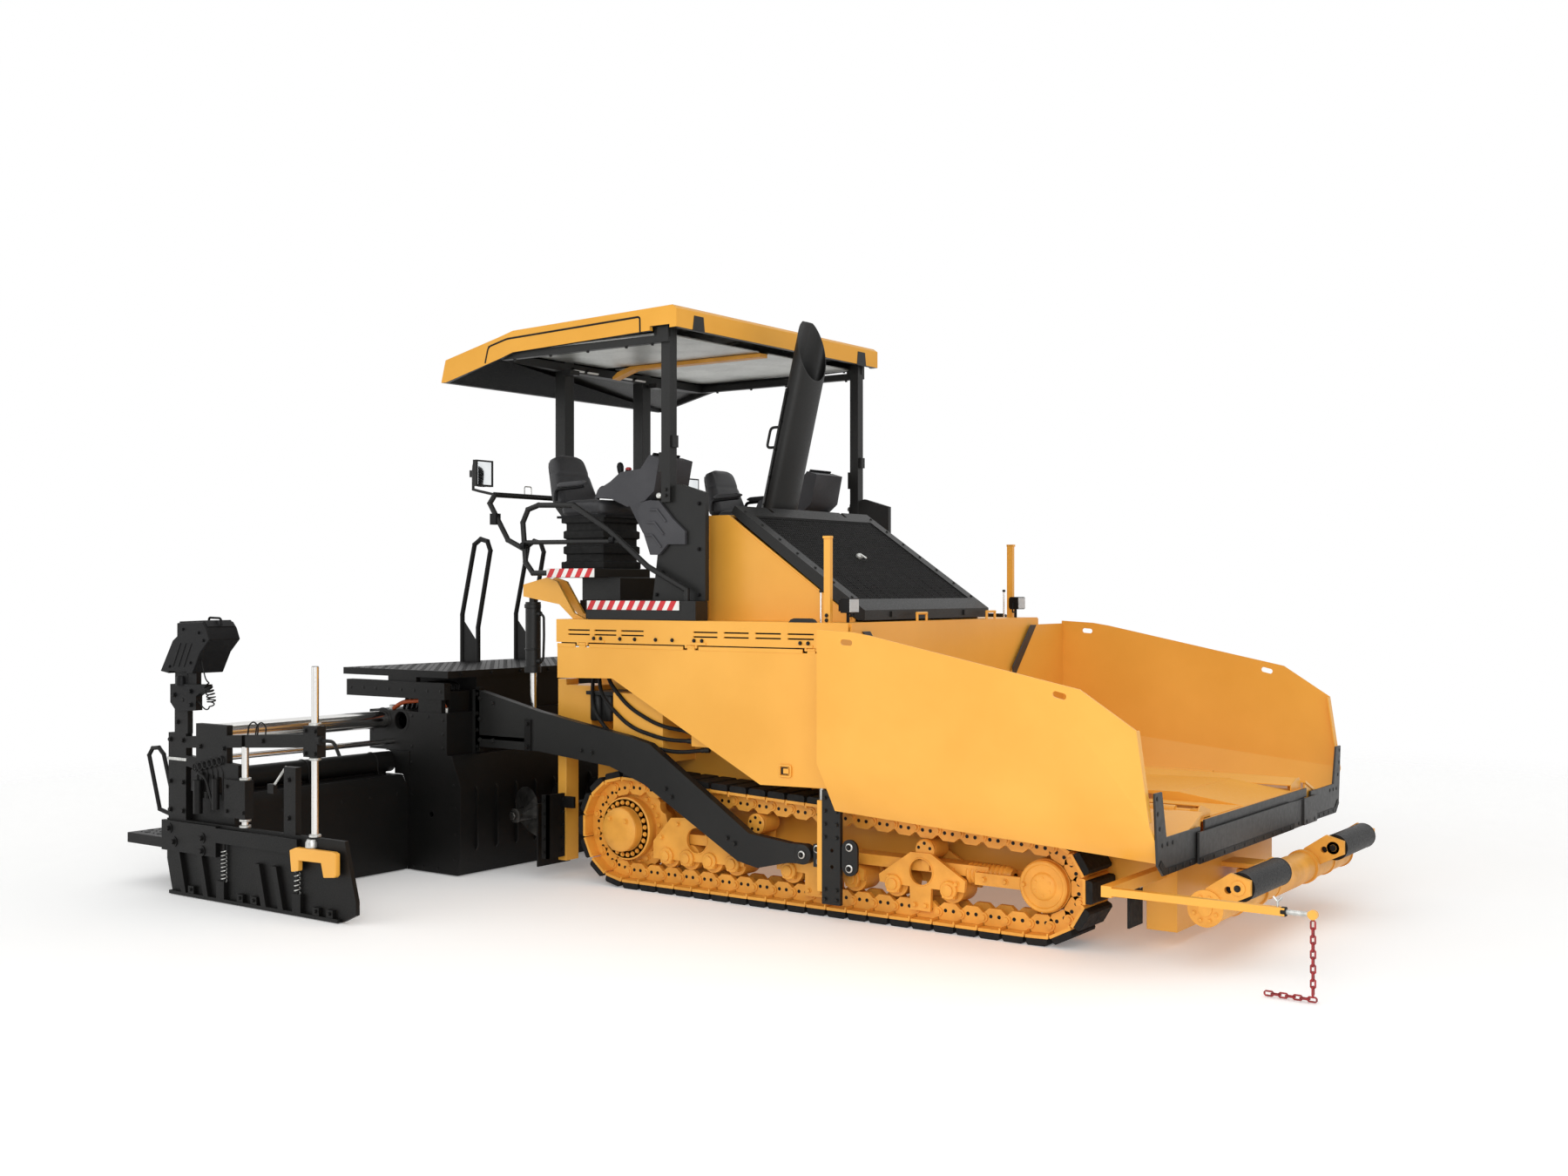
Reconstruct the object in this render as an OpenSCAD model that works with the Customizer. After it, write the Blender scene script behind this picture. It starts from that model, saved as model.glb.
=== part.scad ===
// Asphalt paver on rubber-padded tracks, with a folding hopper in front, a canopied
// operator's platform and an extending screed behind. X runs forward to the hopper,
// Y to the left side and Z up; the ground is at zero and the middle of the length is at zero.

/* [Overall] */
// Half width over the side doors
body_half = 1275; // [1150:5:1400]
// Height of the top deck
deck_z = 1830; // [1700:5:1950]
// Rear edge of the deck, behind the middle
deck_rear = 1410; // [1300:10:1500]
// Rear wall of the hopper, ahead of the middle
hopper_back = 1000; // [900:10:1100]
// Rear end of the machine, behind the middle
rear_end = 3920; // [3700:10:4100]
// Front end of the machine, ahead of the middle
front_end = 3920; // [3700:10:4100]

/* [Tracks] */
// Distance between the middles of the two tracks
track_gauge = 1990; // [1800:10:2200]
// Width of a shoe and its rubber pad
shoe_w = 320; // [250:10:400]
// Number of shoes in one track
shoe_n = 54; // [44:1:64]
// Sprocket axle, behind the middle
sprocket_back = 920; // [800:10:1000]
// Idler axle, ahead of the middle
idler_fwd = 2225; // [2100:5:2350]
// Outer radius of the track round the sprocket
track_r_rear = 400; // [350:5:450]
// Outer radius of the track round the idler
track_r_front = 335; // [300:5:380]
// Thickness of a rubber pad
pad_t = 42; // [30:1:60]
// Thickness of a shoe plate
shoe_t = 18; // [12:1:25]
// Height of the chain links under the shoes
link_h = 105; // [80:5:130]

/* [Hopper] */
// Half width over the wings
wing_half = 1645; // [1500:5:1750]
// Front tip of the wings, ahead of the middle
wing_front = 3090; // [2900:10:3200]
// Top of the wings at the rear
wing_top = 1800; // [1700:5:1900]
// Thickness of the hopper plates
plate_t = 12; // [8:1:20]
// Distance of a wing's hinge from the middle
wing_hinge_y = 860; // [800:5:900]
// Height of the wings' hinges
wing_hinge_z = 800; // [760:5:840]

/* [Operator] */
// Top of the canopy
canopy_top = 3914; // [3700:2:4000]
// Half width of the canopy
canopy_half = 1245; // [1100:5:1300]
// Front edge of the canopy, behind the middle
canopy_front = 365; // [300:5:450]
// Rear edge of the canopy, behind the middle
canopy_rear = 2594; // [2400:2:2700]
// Distance of a seat from the middle
seat_y = 900; // [700:10:1000]

/* [Screed] */
// Half width of the main screed
screed_half = 1500; // [1250:10:1600]
// Reach of an extender beyond the main screed
reach = 1500; // [1000:10:1600]
// Front face of the main screed, behind the middle
screed_front = 2150; // [2100:5:2200]
// Rear face of the main screed, behind the middle
screed_rear = 2650; // [2600:5:2700]
// Height of the screed plates above the ground
screed_lift = 6; // [4:1:20]
// Radius of the guide tubes
tube_r = 63; // [50:1:80]

/* [Push beam] */
// Height of the push beam
push_z = 330; // [300:5:400]
// Half length of the push beam
push_half = 1160; // [1000:10:1300]
// Radius of the push rollers
push_r = 78; // [60:1:100]

/* [Hidden] */
$fn = 48;
gauge_half = track_gauge / 2;
path_d = pad_t + shoe_t;
path_r1 = track_r_rear - path_d;
path_r2 = track_r_front - path_d;
run = idler_fwd + sprocket_back;
tilt = 2 * atan((track_r_rear - track_r_front) / run);
arc_front = path_r2 * (180 - tilt) * PI / 180;
arc_rear = path_r1 * (180 + tilt) * PI / 180;
loop_len = 2 * run + arc_front + arc_rear;
pitch = loop_len / shoe_n;
rail_w = 38;
rail_y = 65;
link_d = path_d + link_h;
roller_r = 84;
roller_z = link_d + roller_r + 0.3;
carrier_r = 65;
run_fall = 2 * (track_r_rear - track_r_front) / run;
// Carrier rollers under the upper run: place along the track and height
carriers = [for (x = [173, 1433])
    [x, 2 * track_r_rear - run_fall * (x + sprocket_back) - link_d - carrier_r - 3]];
frame_t = 30;
track_gap = 35;
frame_half = gauge_half - shoe_w / 2 - track_gap;
frame_rear = -deck_rear - 40;
frame_nose = 2720;
tunnel_z = 780;
floor_z = 420;
belly_z = 260;
deck_t = 25;
hub_z = track_r_rear;
tow_x = 650;
tow_z = 389;
arm_y = gauge_half + shoe_w / 2 + track_gap;
arm_t = 60;
arm_out = arm_y + arm_t;
lift_x = -1849;
lift_y = body_half - 225;
lift_top_z = 2027;
lift_eye_z = 1000;
auger_x = -1835;
auger_z = 430;
auger_r = 195;
auger_end = 1240;
hood_x = -95;
hood_z = 2552;
hinge_ys = [-600, 300];
hood_right = -950;
hood_left = 660;
house_rear = -396;
floor_top = 1960;
board_z = 2117;
rail_out_y = body_half - 60;
side_plate_y = body_half - 115;
roof_rear_z = canopy_top - 195;
roof_wall = 35;
gate_y = screed_half + reach;
gate_t = 30;
tube_z = 1080;
tube_x_right = -2930;
tube_x_left = -2740;
ram_x = -2830;
ram_z = 925;
ram_r = 20;
case_top = 1150;
case_low = 862;
case_front = -2260;
case_rear = -3080;
sill_z = 850;
walk_z = 1400;
walk_t = 50;
jack_r = 23;
jack_y = gate_y + 15;
jack_xs = [-1805, -2497];
push_x = 3210;
push_tube = 92;
pivot_x = 3060;
roller_x = 3385;
guide_y = 1530;
guide_z = 435;

// A block between two corners
module block(a, b) {
    translate(a) cube(b - a);
}

// The right half and its mirror image on the left
module both() {
    children();
    mirror([0, 1, 0]) children();
}

// A plate cut to an outline of X and Z
module plate_xz(pts, y0, t) {
    translate([0, y0 + t, 0]) rotate([90, 0, 0]) linear_extrude(t) polygon(pts);
}

// A plate cut to an outline of Y and Z
module plate_yz(pts, x0, t) {
    translate([x0, 0, 0]) rotate([90, 0, 90]) linear_extrude(t) polygon(pts);
}

// Round bars along each axis
module rod_x(y, z, x0, x1, r) {
    translate([x0, y, z]) rotate([0, 90, 0]) cylinder(h = x1 - x0, r = r);
}

module rod_y(x, z, y0, y1, r) {
    translate([x, y0, z]) rotate([-90, 0, 0]) cylinder(h = y1 - y0, r = r);
}

module rod_z(x, y, z0, z1, r) {
    translate([x, y, z0]) cylinder(h = z1 - z0, r = r);
}

// A round bar between two points
module bar(p, q, r) {
    v = q - p;
    len = norm(v);
    translate(p) rotate([0, acos(v[2] / len), atan2(v[1], v[0])]) cylinder(h = len, r = r);
}

// A bent tube through a row of points
module pipe(pts, r) {
    last = len(pts) - 2;
    for (i = [0 : last]) {
        d = (pts[i + 1] - pts[i]) / norm(pts[i + 1] - pts[i]) * r * 0.5;
        bar(i == 0 ? pts[i] : pts[i] - d, i == last ? pts[i + 1] : pts[i + 1] + d, r);
    }
}

// A flat sheet between four corners
module sheet4(pts, t) {
    hull() for (p = pts) translate(p) cube(t);
}

// Main frame
module chassis() {
    color("gold") {
        inner = frame_half - frame_t;
        top = deck_z - deck_t;
        side_pts = [[frame_rear, belly_z], [frame_nose, belly_z], [frame_nose, 640], [hopper_back, 640],
            [hopper_back, top], [frame_rear, top]];
        both() plate_xz(side_pts, -frame_half, frame_t);
        block([frame_rear, -inner, belly_z], [frame_nose, inner, belly_z + 20]);
        block([frame_rear, -inner, tunnel_z], [hopper_back, inner, tunnel_z + 20]);
        block([frame_rear, -inner, tunnel_z + 20], [frame_rear + 25, inner, top]);
        block([frame_nose, -frame_half, 100], [frame_nose + 184, frame_half, 560]);
        // Rear posts and the cross tie that carries them
        both() block([-1620, -frame_half - 235, 110], [-1540, -frame_half - 105, 1400]);
        both() block([-1540, -frame_half - 235, 1040], [-1300, -frame_half, 1360]);
        // Side tanks over the tracks
        both() block([-1000, -frame_half - 350, 870], [-560, -frame_half, 1330]);
        both() block([-300, -frame_half - 370, 1000], [700, -frame_half, 1560]);
        // Ears of the push beam's pivot
        for (z = [push_z - 80, push_z + 50]) block([frame_nose + 184, -110, z], [pivot_x + 50, 110, z + 30]);
        rod_z(pivot_x, 0, push_z - 50, push_z + 50, 35);
    }
}

// Top deck with its louvred side bands, lift hooks and guidance posts
module deck() {
    slot_xs = [-1300, -1060, -820, -200, 50, 300, 550];
    band_low = deck_z - 158;
    hang_z = deck_z - 170;
    color("gold") {
        difference() {
            block([-deck_rear, -body_half, deck_z - deck_t], [hopper_back, body_half, deck_z]);
            block([-300, -700, deck_z - deck_t - 5], [600, 500, deck_z + 5]);
        }
        both() difference() {
            block([-deck_rear, -body_half, band_low], [hopper_back, -body_half + 12, deck_z - deck_t]);
            for (x = slot_xs, z = [band_low + 50, band_low + 80])
                block([x, -body_half - 5, z], [x + 200, -body_half + 20, z + 10]);
        }
        // Pins the side doors hang from
        both() for (x = [-1200, -250, 700]) {
            rod_x(-body_half + 7, hang_z, x - 20, x + 80, 6);
            for (e = [x - 20, x + 65])
                block([e, -body_half, hang_z - 8], [e + 15, -body_half + 14, band_low + 8]);
        }
        // Lift hooks of the screed
        hook = [[-1300, deck_z], [-1410, deck_z], [-1540, 1930], [-1890, 1985], [-1890, 2070], [-1660, 2120],
            [-1560, 2090], [-1400, deck_z + 40]];
        both() for (y = [-lift_y - 58, -lift_y + 38]) plate_xz(hook, y, 20);
        both() rod_y(lift_x, lift_top_z, -lift_y - 38, -lift_y + 38, 20);
        // Guidance posts and grab handles at the hopper's edge
        both() block([790, -body_half + 50, deck_z], [836, -body_half + 80, 2362]);
        grab_x = hopper_back - 26;
        for (y = [-350, 600]) pipe([[grab_x, y - 60, deck_z - 5], [grab_x, y - 60, deck_z + 50],
            [grab_x, y + 60, deck_z + 50], [grab_x, y + 60, deck_z - 5]], 9);
    }
}

// Engine as one block
module engine_block() {
    color("dimgray") block([-280, -480, 800], [480, 300, 1950]);
}

function path_at(s) =
    s < run ? [-sprocket_back + s, path_d, 0]
    : s < run + arc_front ? let(a = (s - run) / path_r2 * 180 / PI)
        [idler_fwd + path_r2 * sin(a), track_r_front - path_r2 * cos(a), a]
    : s < 2 * run + arc_front ? let(u = s - run - arc_front, a = 180 - tilt)
        [idler_fwd + path_r2 * sin(a) + u * cos(a), track_r_front - path_r2 * cos(a) + u * sin(a), a]
    : let(a = 180 - tilt + (s - 2 * run - arc_front) / path_r1 * 180 / PI)
        [-sprocket_back + path_r1 * sin(a), track_r_rear - path_r1 * cos(a), a];

// A point of shoe i: u along the shoe, v outward from the chain's line
function on_shoe(i, u, v) =
    let(p = path_at(i * pitch), q = path_at((i + 1) % shoe_n * pitch),
        a = atan2(q[1] - p[1], q[0] - p[0]), m = [(p[0] + q[0]) / 2, (p[1] + q[1]) / 2])
    [m[0] + u * cos(a) + v * sin(a), m[1] + u * sin(a) - v * cos(a)];

module ring_xz(outer, inner, y0, t) {
    n = len(outer);
    m = len(inner);
    translate([0, y0 + t, 0]) rotate([90, 0, 0]) linear_extrude(t)
        polygon(concat(outer, inner), [[for (i = [0 : n - 1]) i], [for (i = [0 : m - 1]) n + i]]);
}

// One track: shoes with pads outside, two rails of links inside
module track_loop() {
    pad_half = pitch * 0.43;
    shoe_out = [for (i = [0 : shoe_n - 1]) each [on_shoe(i, -pad_half, shoe_t),
        on_shoe(i, -pad_half, path_d), on_shoe(i, pad_half, path_d), on_shoe(i, pad_half, shoe_t)]];
    pins = [for (i = [0 : shoe_n - 1]) on_shoe(i, -pitch / 2, 0)];
    rail_out = [for (i = [0 : shoe_n - 1]) on_shoe(i, -pitch / 2, shoe_t / 3)];
    rail_in = [for (i = [0 : shoe_n - 1]) each [on_shoe(i, -pitch * 0.22, -link_h),
        on_shoe(i, pitch * 0.22, -link_h)]];
    color("dimgray") {
        ring_xz(shoe_out, pins, -shoe_w / 2, shoe_w);
        for (s = [-1, 1]) ring_xz(rail_out, rail_in, s * rail_y - rail_w / 2, rail_w);
    }
}

module track_right() {
    translate([0, -gauge_half, 0]) track_loop();
}

module track_left() {
    translate([0, gauge_half, 0]) track_loop();
}

// Beams, bogie plates and idler yokes inside the tracks
module track_frames() {
    bogie_rear = [[-674, 222], [-674, 339], [-522, 505], [-263, 526], [82, 351], [89, 238]];
    bogie_mid = [[350, 250], [350, 297], [570, 430], [710, 430], [1010, 312], [1010, 244],
        [715, 244], [715, 105], [570, 105], [570, 244]];
    bogie_front = [[1125, 250], [1119, 297], [1342, 451], [1481, 454], [1718, 312], [1713, 244],
        [1486, 244], [1481, 105], [1342, 105], [1337, 244]];
    out = 115;
    bogie_t = 25;
    beam_low = 2 * roller_r + link_d + 2;
    beam_top = 402;
    color("gold") both() {
        difference() {
            union() {
                for (y = [-gauge_half - out, -gauge_half + out - bogie_t]) {
                    plate_xz(bogie_rear, y, bogie_t);
                    plate_xz(bogie_mid, y, bogie_t);
                    plate_xz(bogie_front, y, bogie_t);
                }
            }
            rod_y(-300, 373, -gauge_half - out - 5, -gauge_half - out + bogie_t + 5, 88);
            rod_y(1415, 338, -gauge_half - out - 5, -gauge_half - out + bogie_t + 5, 82);
        }
        block([-560, -gauge_half - 70, beam_low], [1850, -gauge_half + 70, beam_top]);
        // Ties from the beam to the bogie plates
        for (x = [-480, -120, 600, 1240, 1560])
            block([x, -gauge_half - out + bogie_t, beam_low + 5],
                [x + 60, -gauge_half + out - bogie_t, beam_low + 40]);
        // Cheeks of the carrier rollers
        for (c = carriers, y = [-gauge_half - 90, -gauge_half + 86])
            block([c[0] - 25, y, beam_low + 10], [c[0] + 25, y + 4, c[1] + 25]);
        for (c = carriers) block([c[0] - 25, -gauge_half - 90, beam_low + 10],
            [c[0] + 25, -gauge_half + 90, beam_low + 40]);
        for (x = [-270, 1420]) rod_y(x, 370, -gauge_half + out - bogie_t, -frame_half, 32);
        // Yoke of the idler with its recoil cylinder
        for (y = [-gauge_half - 110, -gauge_half + 90]) block([1780, y, 300], [2275, y + 20, 372]);
        block([1780, -gauge_half - 110, beam_low + 5], [1850, -gauge_half + 110, 372]);
        rod_x(-gauge_half, track_r_front, 1850, 1990, 36);
        rod_x(-gauge_half, track_r_front, 1850, 1930, 52);
    }
}

// Rollers and idlers
module track_rollers() {
    color("gold") both() {
        for (x = [-555, -380, -190, 0, 448, 925, 1225, 1610]) {
            rod_y(x, roller_z, -gauge_half - 84, -gauge_half + 84, roller_r);
            rod_y(x, roller_z, -gauge_half - 90, -gauge_half + 90, 30);
        }
        for (c = carriers) {
            rod_y(c[0], c[1], -gauge_half - 78, -gauge_half + 78, carrier_r);
            rod_y(c[0], c[1], -gauge_half - 86, -gauge_half + 86, 20);
        }
        difference() {
            rod_y(idler_fwd, track_r_front, -gauge_half - 80, -gauge_half + 80, track_r_front - link_d - 15);
            for (y = [-gauge_half - 85, -gauge_half + 35])
                rod_y(idler_fwd, track_r_front, y, y + 50, track_r_front - link_d - 45);
        }
        rod_y(idler_fwd, track_r_front, -gauge_half - 90, -gauge_half + 90, 70);
    }
}

// Turns a piece about the sprocket axle
module rotate_tooth(a) {
    translate([-sprocket_back, 0, hub_z]) rotate([0, a, 0]) children();
}

// Sprockets with their final drives
module sprockets() {
    color("gold") both() {
        difference() {
            rod_y(-sprocket_back, hub_z, -gauge_half - 32, -gauge_half + 32, 305);
            for (i = [0 : 11]) rotate_tooth(i * 30) rod_y(0, 330, -gauge_half - 40, -gauge_half + 40, 50);
        }
        rod_y(-sprocket_back, hub_z, -gauge_half - 120, -frame_half, 205);
        rod_y(-sprocket_back, hub_z, -gauge_half - 180, -gauge_half - 110, 150);
        rod_y(-sprocket_back, hub_z, -gauge_half - 95, -gauge_half - 70, 212);
    }
}

// Rear wall and floor of the hopper, and the wings' hinge pins
module hopper_floor() {
    color("gold") {
        block([hopper_back, -body_half + 20, 800], [hopper_back + 16, body_half - 20, deck_z - 7]);
        block([-1300, -frame_half + frame_t, floor_z - 20], [2500, frame_half - frame_t, floor_z]);
        block([-1300, -70, floor_z], [2500, 70, 560]);
        block([2488, -840, 740], [3060, 840, 755]);
        block([2488, -640, floor_z - 20], [2500, 640, 740]);
        both() sheet4([[hopper_back + 60, -652, 412], [2488, -652, 412], [hopper_back + 60, -840, 830],
            [2488, -840, 830]], plate_t);
        both() rod_x(-wing_hinge_y, wing_hinge_z, hopper_back + 60, 3050, 15);
        both() for (x = [hopper_back + 60, 1690, 2370, 3010])
            block([x, -wing_hinge_y - 15, 745], [x + 40, -780, wing_hinge_z + 15]);
        both() for (x = [hopper_back + 60, 1690, 2370])
            block([x, -825, 640], [x + 40, -780, 745]);
    }
}

// Two slat conveyors, each with two chains
module conveyor_slats() {
    color("dimgray") both() {
        for (y = [-620, -130]) block([-1290, y, floor_z], [2480, y + 40, floor_z + 34]);
        for (x = [-1280 : 234 : 2420]) block([x, -580, floor_z], [x + 40, -130, floor_z + 22]);
    }
}

// Overlapping rubber flaps in the middle of the hopper's front
module front_apron() {
    color("black") {
        block([3110, -1030, 540], [3124, 550, 712]);
        block([3085, -550, 535], [3110, 840, 705]);
        block([3110, 770, 538], [3122, 1030, 708]);
        for (y = [-500, 440]) block([3060, y, 640], [3085, y + 60, 755]);
    }
}

// Steering guide rod on the right side
module guide_rod() {
    color("gold") {
        block([2840, -guide_y - 20, guide_z - 20], [3760, -guide_y + 20, guide_z + 20]);
        block([2780, -guide_y + 20, guide_z - 30], [2840, -frame_half, guide_z + 30]);
        block([2780, -guide_y - 20, guide_z - 30], [2840, -guide_y + 20, guide_z + 30]);
        rod_x(-guide_y, guide_z, 3760, front_end - 24, 12);
        rod_y(front_end - 24, guide_z, -guide_y - 14, -guide_y + 14, 24);
    }
}

// One link of the chain in the plane of X and Z, long way up
module link(l, w, d) {
    c = w * 0.3;
    e = 2;
    o = [[-w / 2, -l / 2 + c], [-w / 2 + c, -l / 2], [w / 2 - c, -l / 2], [w / 2, -l / 2 + c],
        [w / 2, l / 2 - c], [w / 2 - c, l / 2], [-w / 2 + c, l / 2], [-w / 2, l / 2 - c]];
    h = l - 2 * d;
    g = w - 2 * d;
    i = [[-g / 2, -h / 2 + e], [-g / 2 + e, -h / 2], [g / 2 - e, -h / 2], [g / 2, -h / 2 + e],
        [g / 2, h / 2 - e], [g / 2 - e, h / 2], [-g / 2 + e, h / 2], [-g / 2, h / 2 - e]];
    ring_xz(o, i, -d / 2, d);
}

// Chain that hangs from the guide rod to the ground
module guide_chain() {
    step = 36;
    wire = 8;
    long = step + 0.8 + 2 * wire;
    color("firebrick") {
        for (i = [0 : 9]) translate([front_end - 24, -guide_y, guide_z - 51 - i * step])
            rotate([0, 0, i % 2 * 90]) link(long, 30, wire);
        for (i = [0 : 6]) translate([front_end - 28 - i * step, -guide_y, 18])
            rotate([0, 90, 0]) rotate([0, 0, i % 2 * 90]) link(long, 30, wire);
    }
}

// Vertical guides and pins of the tow points
module tow_guides() {
    plate_y = arm_out + 5;
    color("black") both() {
        difference() {
            block([816, -plate_y - 30, 108], [950, -plate_y, 804]);
            for (z = [340, 440]) rod_y(890, z, -plate_y - 35, -plate_y + 5, 12);
        }
        block([830, -plate_y, 745], [930, -frame_half, 800]);
        block([725, -plate_y + 10, 320], [816, -plate_y + 60, 460]);
        block([816, -plate_y, 250], [830, -arm_y + 40, 460]);
        rod_y(tow_x, tow_z, -arm_out - 12, -arm_y + 40, 30);
        block([tow_x - 35, -arm_y + 10, tow_z - 45], [816, -arm_y + 40, tow_z + 45]);
        rod_z(770, -plate_y + 45, 460, 900, 18);
        rod_z(770, -plate_y + 45, 900, 1250, 42);
    }
}

// Gear housing and hanger of the augers
module auger_mount() {
    color("black") {
        difference() {
            block([auger_x - 70, -60, auger_z - 110], [auger_x + 70, 60, auger_z + 230]);
            rod_y(auger_x, auger_z, -65, 65, 25.3);
        }
        block([auger_x + 70, -60, auger_z + 60], [-deck_rear - 40, 60, auger_z + 230]);
        block([-1500, -60, auger_z + 230], [-deck_rear - 40, 60, 1000]);
        both() block([-1632, -auger_end, 85], [-1620, -frame_half - 105, 530]);
    }
}

// Yellow walls round the engine
module engine_housing() {
    top = 2530;
    color("gold") {
        wall = [[house_rear, deck_z], [840, deck_z], [840, deck_z + 20], [-110, 2500], [-160, top],
            [house_rear, top]];
        plate_xz(wall, hood_right, 15);
        plate_xz(wall, hood_left - 15, 15);
        block([house_rear, hood_right + 15, deck_z], [house_rear + 15, hood_left - 15, top]);
        block([house_rear + 15, hood_right + 15, top - 15], [-160, hood_left - 15, top]);
        for (y = hinge_ys) {
            block([-220, y, top], [hood_x, y + 20, top + 40]);
            rod_y(hood_x, hood_z, y - 40, y + 60, 10);
        }
    }
}

// Black sloped engine hood with its grille, hinged at the top
module engine_hood() {
    color("black") difference() {
        plate_xz([[-130, 2546], [-100, 2590], [920, 1905], [920, 1842], [868, 1842], [-90, 2512]],
            hood_right - 8, hood_left - hood_right + 16);
        plate_xz([[20, 2600], [900, 2060], [760, 1920], [-40, 2420]],
            hood_right + 90, hood_left - hood_right - 180);
        for (y = hinge_ys) {
            block([-240, y - 6, 2480], [-50, y + 26, 2620]);
            rod_y(hood_x, hood_z, y - 45, y + 65, 10.3);
        }
    }
    color("black") for (i = [0 : 11])
        translate([0, hood_right + 150 + i * 118, 0])
            plate_xz([[-8, 2500], [800, 1975], [785, 1950], [-23, 2475]], 0, 16);
}

// Exhaust duct, leaning forward, with a slanted open top
module exhaust_stack() {
    lean = 0.25;
    tall = 1372;
    color("black") translate([-290, -200, 2530]) difference() {
        multmatrix([[1, 0, lean, 0], [0, 1, 0, 0], [0, 0, 1, 0]])
            difference() {
                union() {
                    for (y = [-70, 70]) translate([0, y, 0]) cylinder(h = tall, r = 95);
                    translate([-95, -70, 0]) cube([190, 140, tall]);
                }
                translate([-62, -130, 860]) cube([124, 260, 700]);
            }
        translate([332, -300, 930]) rotate([0, -10, 0]) cube([500, 600, 900]);
    }
}

// Platform, seat boxes and striped boards
module operator_floor() {
    step_y = body_half - 145;
    color("dimgray") {
        difference() {
            block([-1480, -960, deck_z], [-400, 960, floor_top]);
            block([-1460, -940, deck_z - 5], [-420, 940, floor_top - 20]);
        }
        both() block([-1270, -step_y, deck_z], [-400, -960, floor_top]);
        both() block([-1130, -body_half + 10, deck_z], [-190, -step_y, floor_top]);
        both() block([-1330, -1100, floor_top], [-980, -660, board_z]);
        both() block([-1536, -body_half + 40, board_z], [-1088, -650, board_z + 63]);
    }
}

// Canopy posts with their brackets
module canopy_posts() {
    foot = [[-640, floor_top], [-190, floor_top], [-190, 2671], [-412, 2736], [-546, 2700], [-600, 2240]];
    knee = [[-2150, 2800], [-2050, 2800], [-1420, 2060], [-1420, floor_top], [-1480, floor_top],
        [-2150, 2650]];
    beam_y = canopy_half - roof_wall - 0.3;
    post_low = 2615;
    ceiling = canopy_top - 48;
    color("black") {
        both() block([-540, -side_plate_y - 30, post_low], [-465, -side_plate_y + 45, ceiling]);
        both() plate_xz(foot, -side_plate_y, 40);
        both() {
            block([-2150, -500, 2700], [-2050, -400, canopy_top - 145]);
            plate_xz(knee, -500, 100);
        }
        // Frame under the roof
        block([-2150, -beam_y, canopy_top - 234], [-2050, beam_y, canopy_top - 174]);
        block([-544, -beam_y, ceiling - 60], [-465, beam_y, ceiling]);
        both() block([-2050, -beam_y, canopy_top - 234], [-544, -beam_y + 50, canopy_top - 184]);
        both() block([-560, -beam_y, canopy_top - 234], [-465, -beam_y + 50, ceiling - 60]);
        plate_xz([[-2510, roof_rear_z - 138], [-2150, canopy_top - 224], [-2150, canopy_top - 212],
            [-2510, roof_rear_z - 126]], -beam_y, 2 * beam_y);
    }
}

// Canopy roof, open below
module canopy_roof() {
    shell = [[-canopy_front, canopy_top - 149], [-canopy_front, canopy_top - 25],
        [-canopy_front - 35, canopy_top], [-1862, canopy_top - 40], [-1992, canopy_top - 72],
        [-2548, roof_rear_z], [-canopy_rear, roof_rear_z - 164], [-2540, roof_rear_z - 164],
        [-1990, canopy_top - 230], [-1862, canopy_top - 195]];
    hollow = [[-canopy_front - 40, canopy_top - 160], [-canopy_front - 40, canopy_top - 45],
        [-1862, canopy_top - 75], [-1992, canopy_top - 107], [-2520, roof_rear_z - 35],
        [-2545, roof_rear_z - 200], [-1990, canopy_top - 280], [-1862, canopy_top - 240]];
    // Joint line of the insert in each side
    joint_line = [[-2141, canopy_top - 250], [-2107, canopy_top - 131], [-1918, canopy_top - 89],
        [-690, canopy_top - 52], [-677, canopy_top - 60], [-673, canopy_top - 170],
        [-681, canopy_top - 170], [-685, canopy_top - 61], [-1919, canopy_top - 98],
        [-2100, canopy_top - 138], [-2132, canopy_top - 250]];
    color("gold") difference() {
        plate_xz(shell, -canopy_half, 2 * canopy_half);
        plate_xz(hollow, -canopy_half + roof_wall, 2 * (canopy_half - roof_wall));
        both() plate_xz(joint_line, -canopy_half - 5, 11);
        // Notches over the front posts
        both() block([-canopy_front - 230, -canopy_half - 5, canopy_top - 165],
            [-canopy_front - 60, -canopy_half + roof_wall + 5, canopy_top - 128]);
    }
}

// Grey lining under the roof
module canopy_liner() {
    front = canopy_front + 180;
    color("silver") for (y = [[-canopy_half + roof_wall, -20], [20, canopy_half - roof_wall]])
        plate_xz([[-front, canopy_top - 48.3], [-1780, canopy_top - 73.7], [-1780, canopy_top - 86],
            [-front, canopy_top - 62]], y[0], y[1] - y[0]);
}

// A seat: cushion and back
module seat() {
    color("black") {
        block([-1580, -250, 2540], [-1080, 250, 2655]);
        plate_xz([[-1590, 2560], [-1470, 2600], [-1610, 3010], [-1720, 3010]], -240, 480);
    }
}

module seat_right() {
    translate([0, -seat_y, 0]) seat();
}

module seat_left() {
    translate([0, seat_y, 0]) seat();
}

// Suspension bellows under the seats
module seat_bases() {
    color("dimgray") both() translate([0, -seat_y, 0]) {
        block([-1530, -200, 2180], [-1130, 200, 2230]);
        for (i = [0 : 4]) block([-1500 - i % 2 * 15, -180 - i % 2 * 15, 2230 + i * 54],
            [-1150 + i % 2 * 15, 180 + i % 2 * 15, 2284 + i * 54]);
        block([-1530, -200, 2500], [-1130, 200, 2540]);
    }
}

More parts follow.
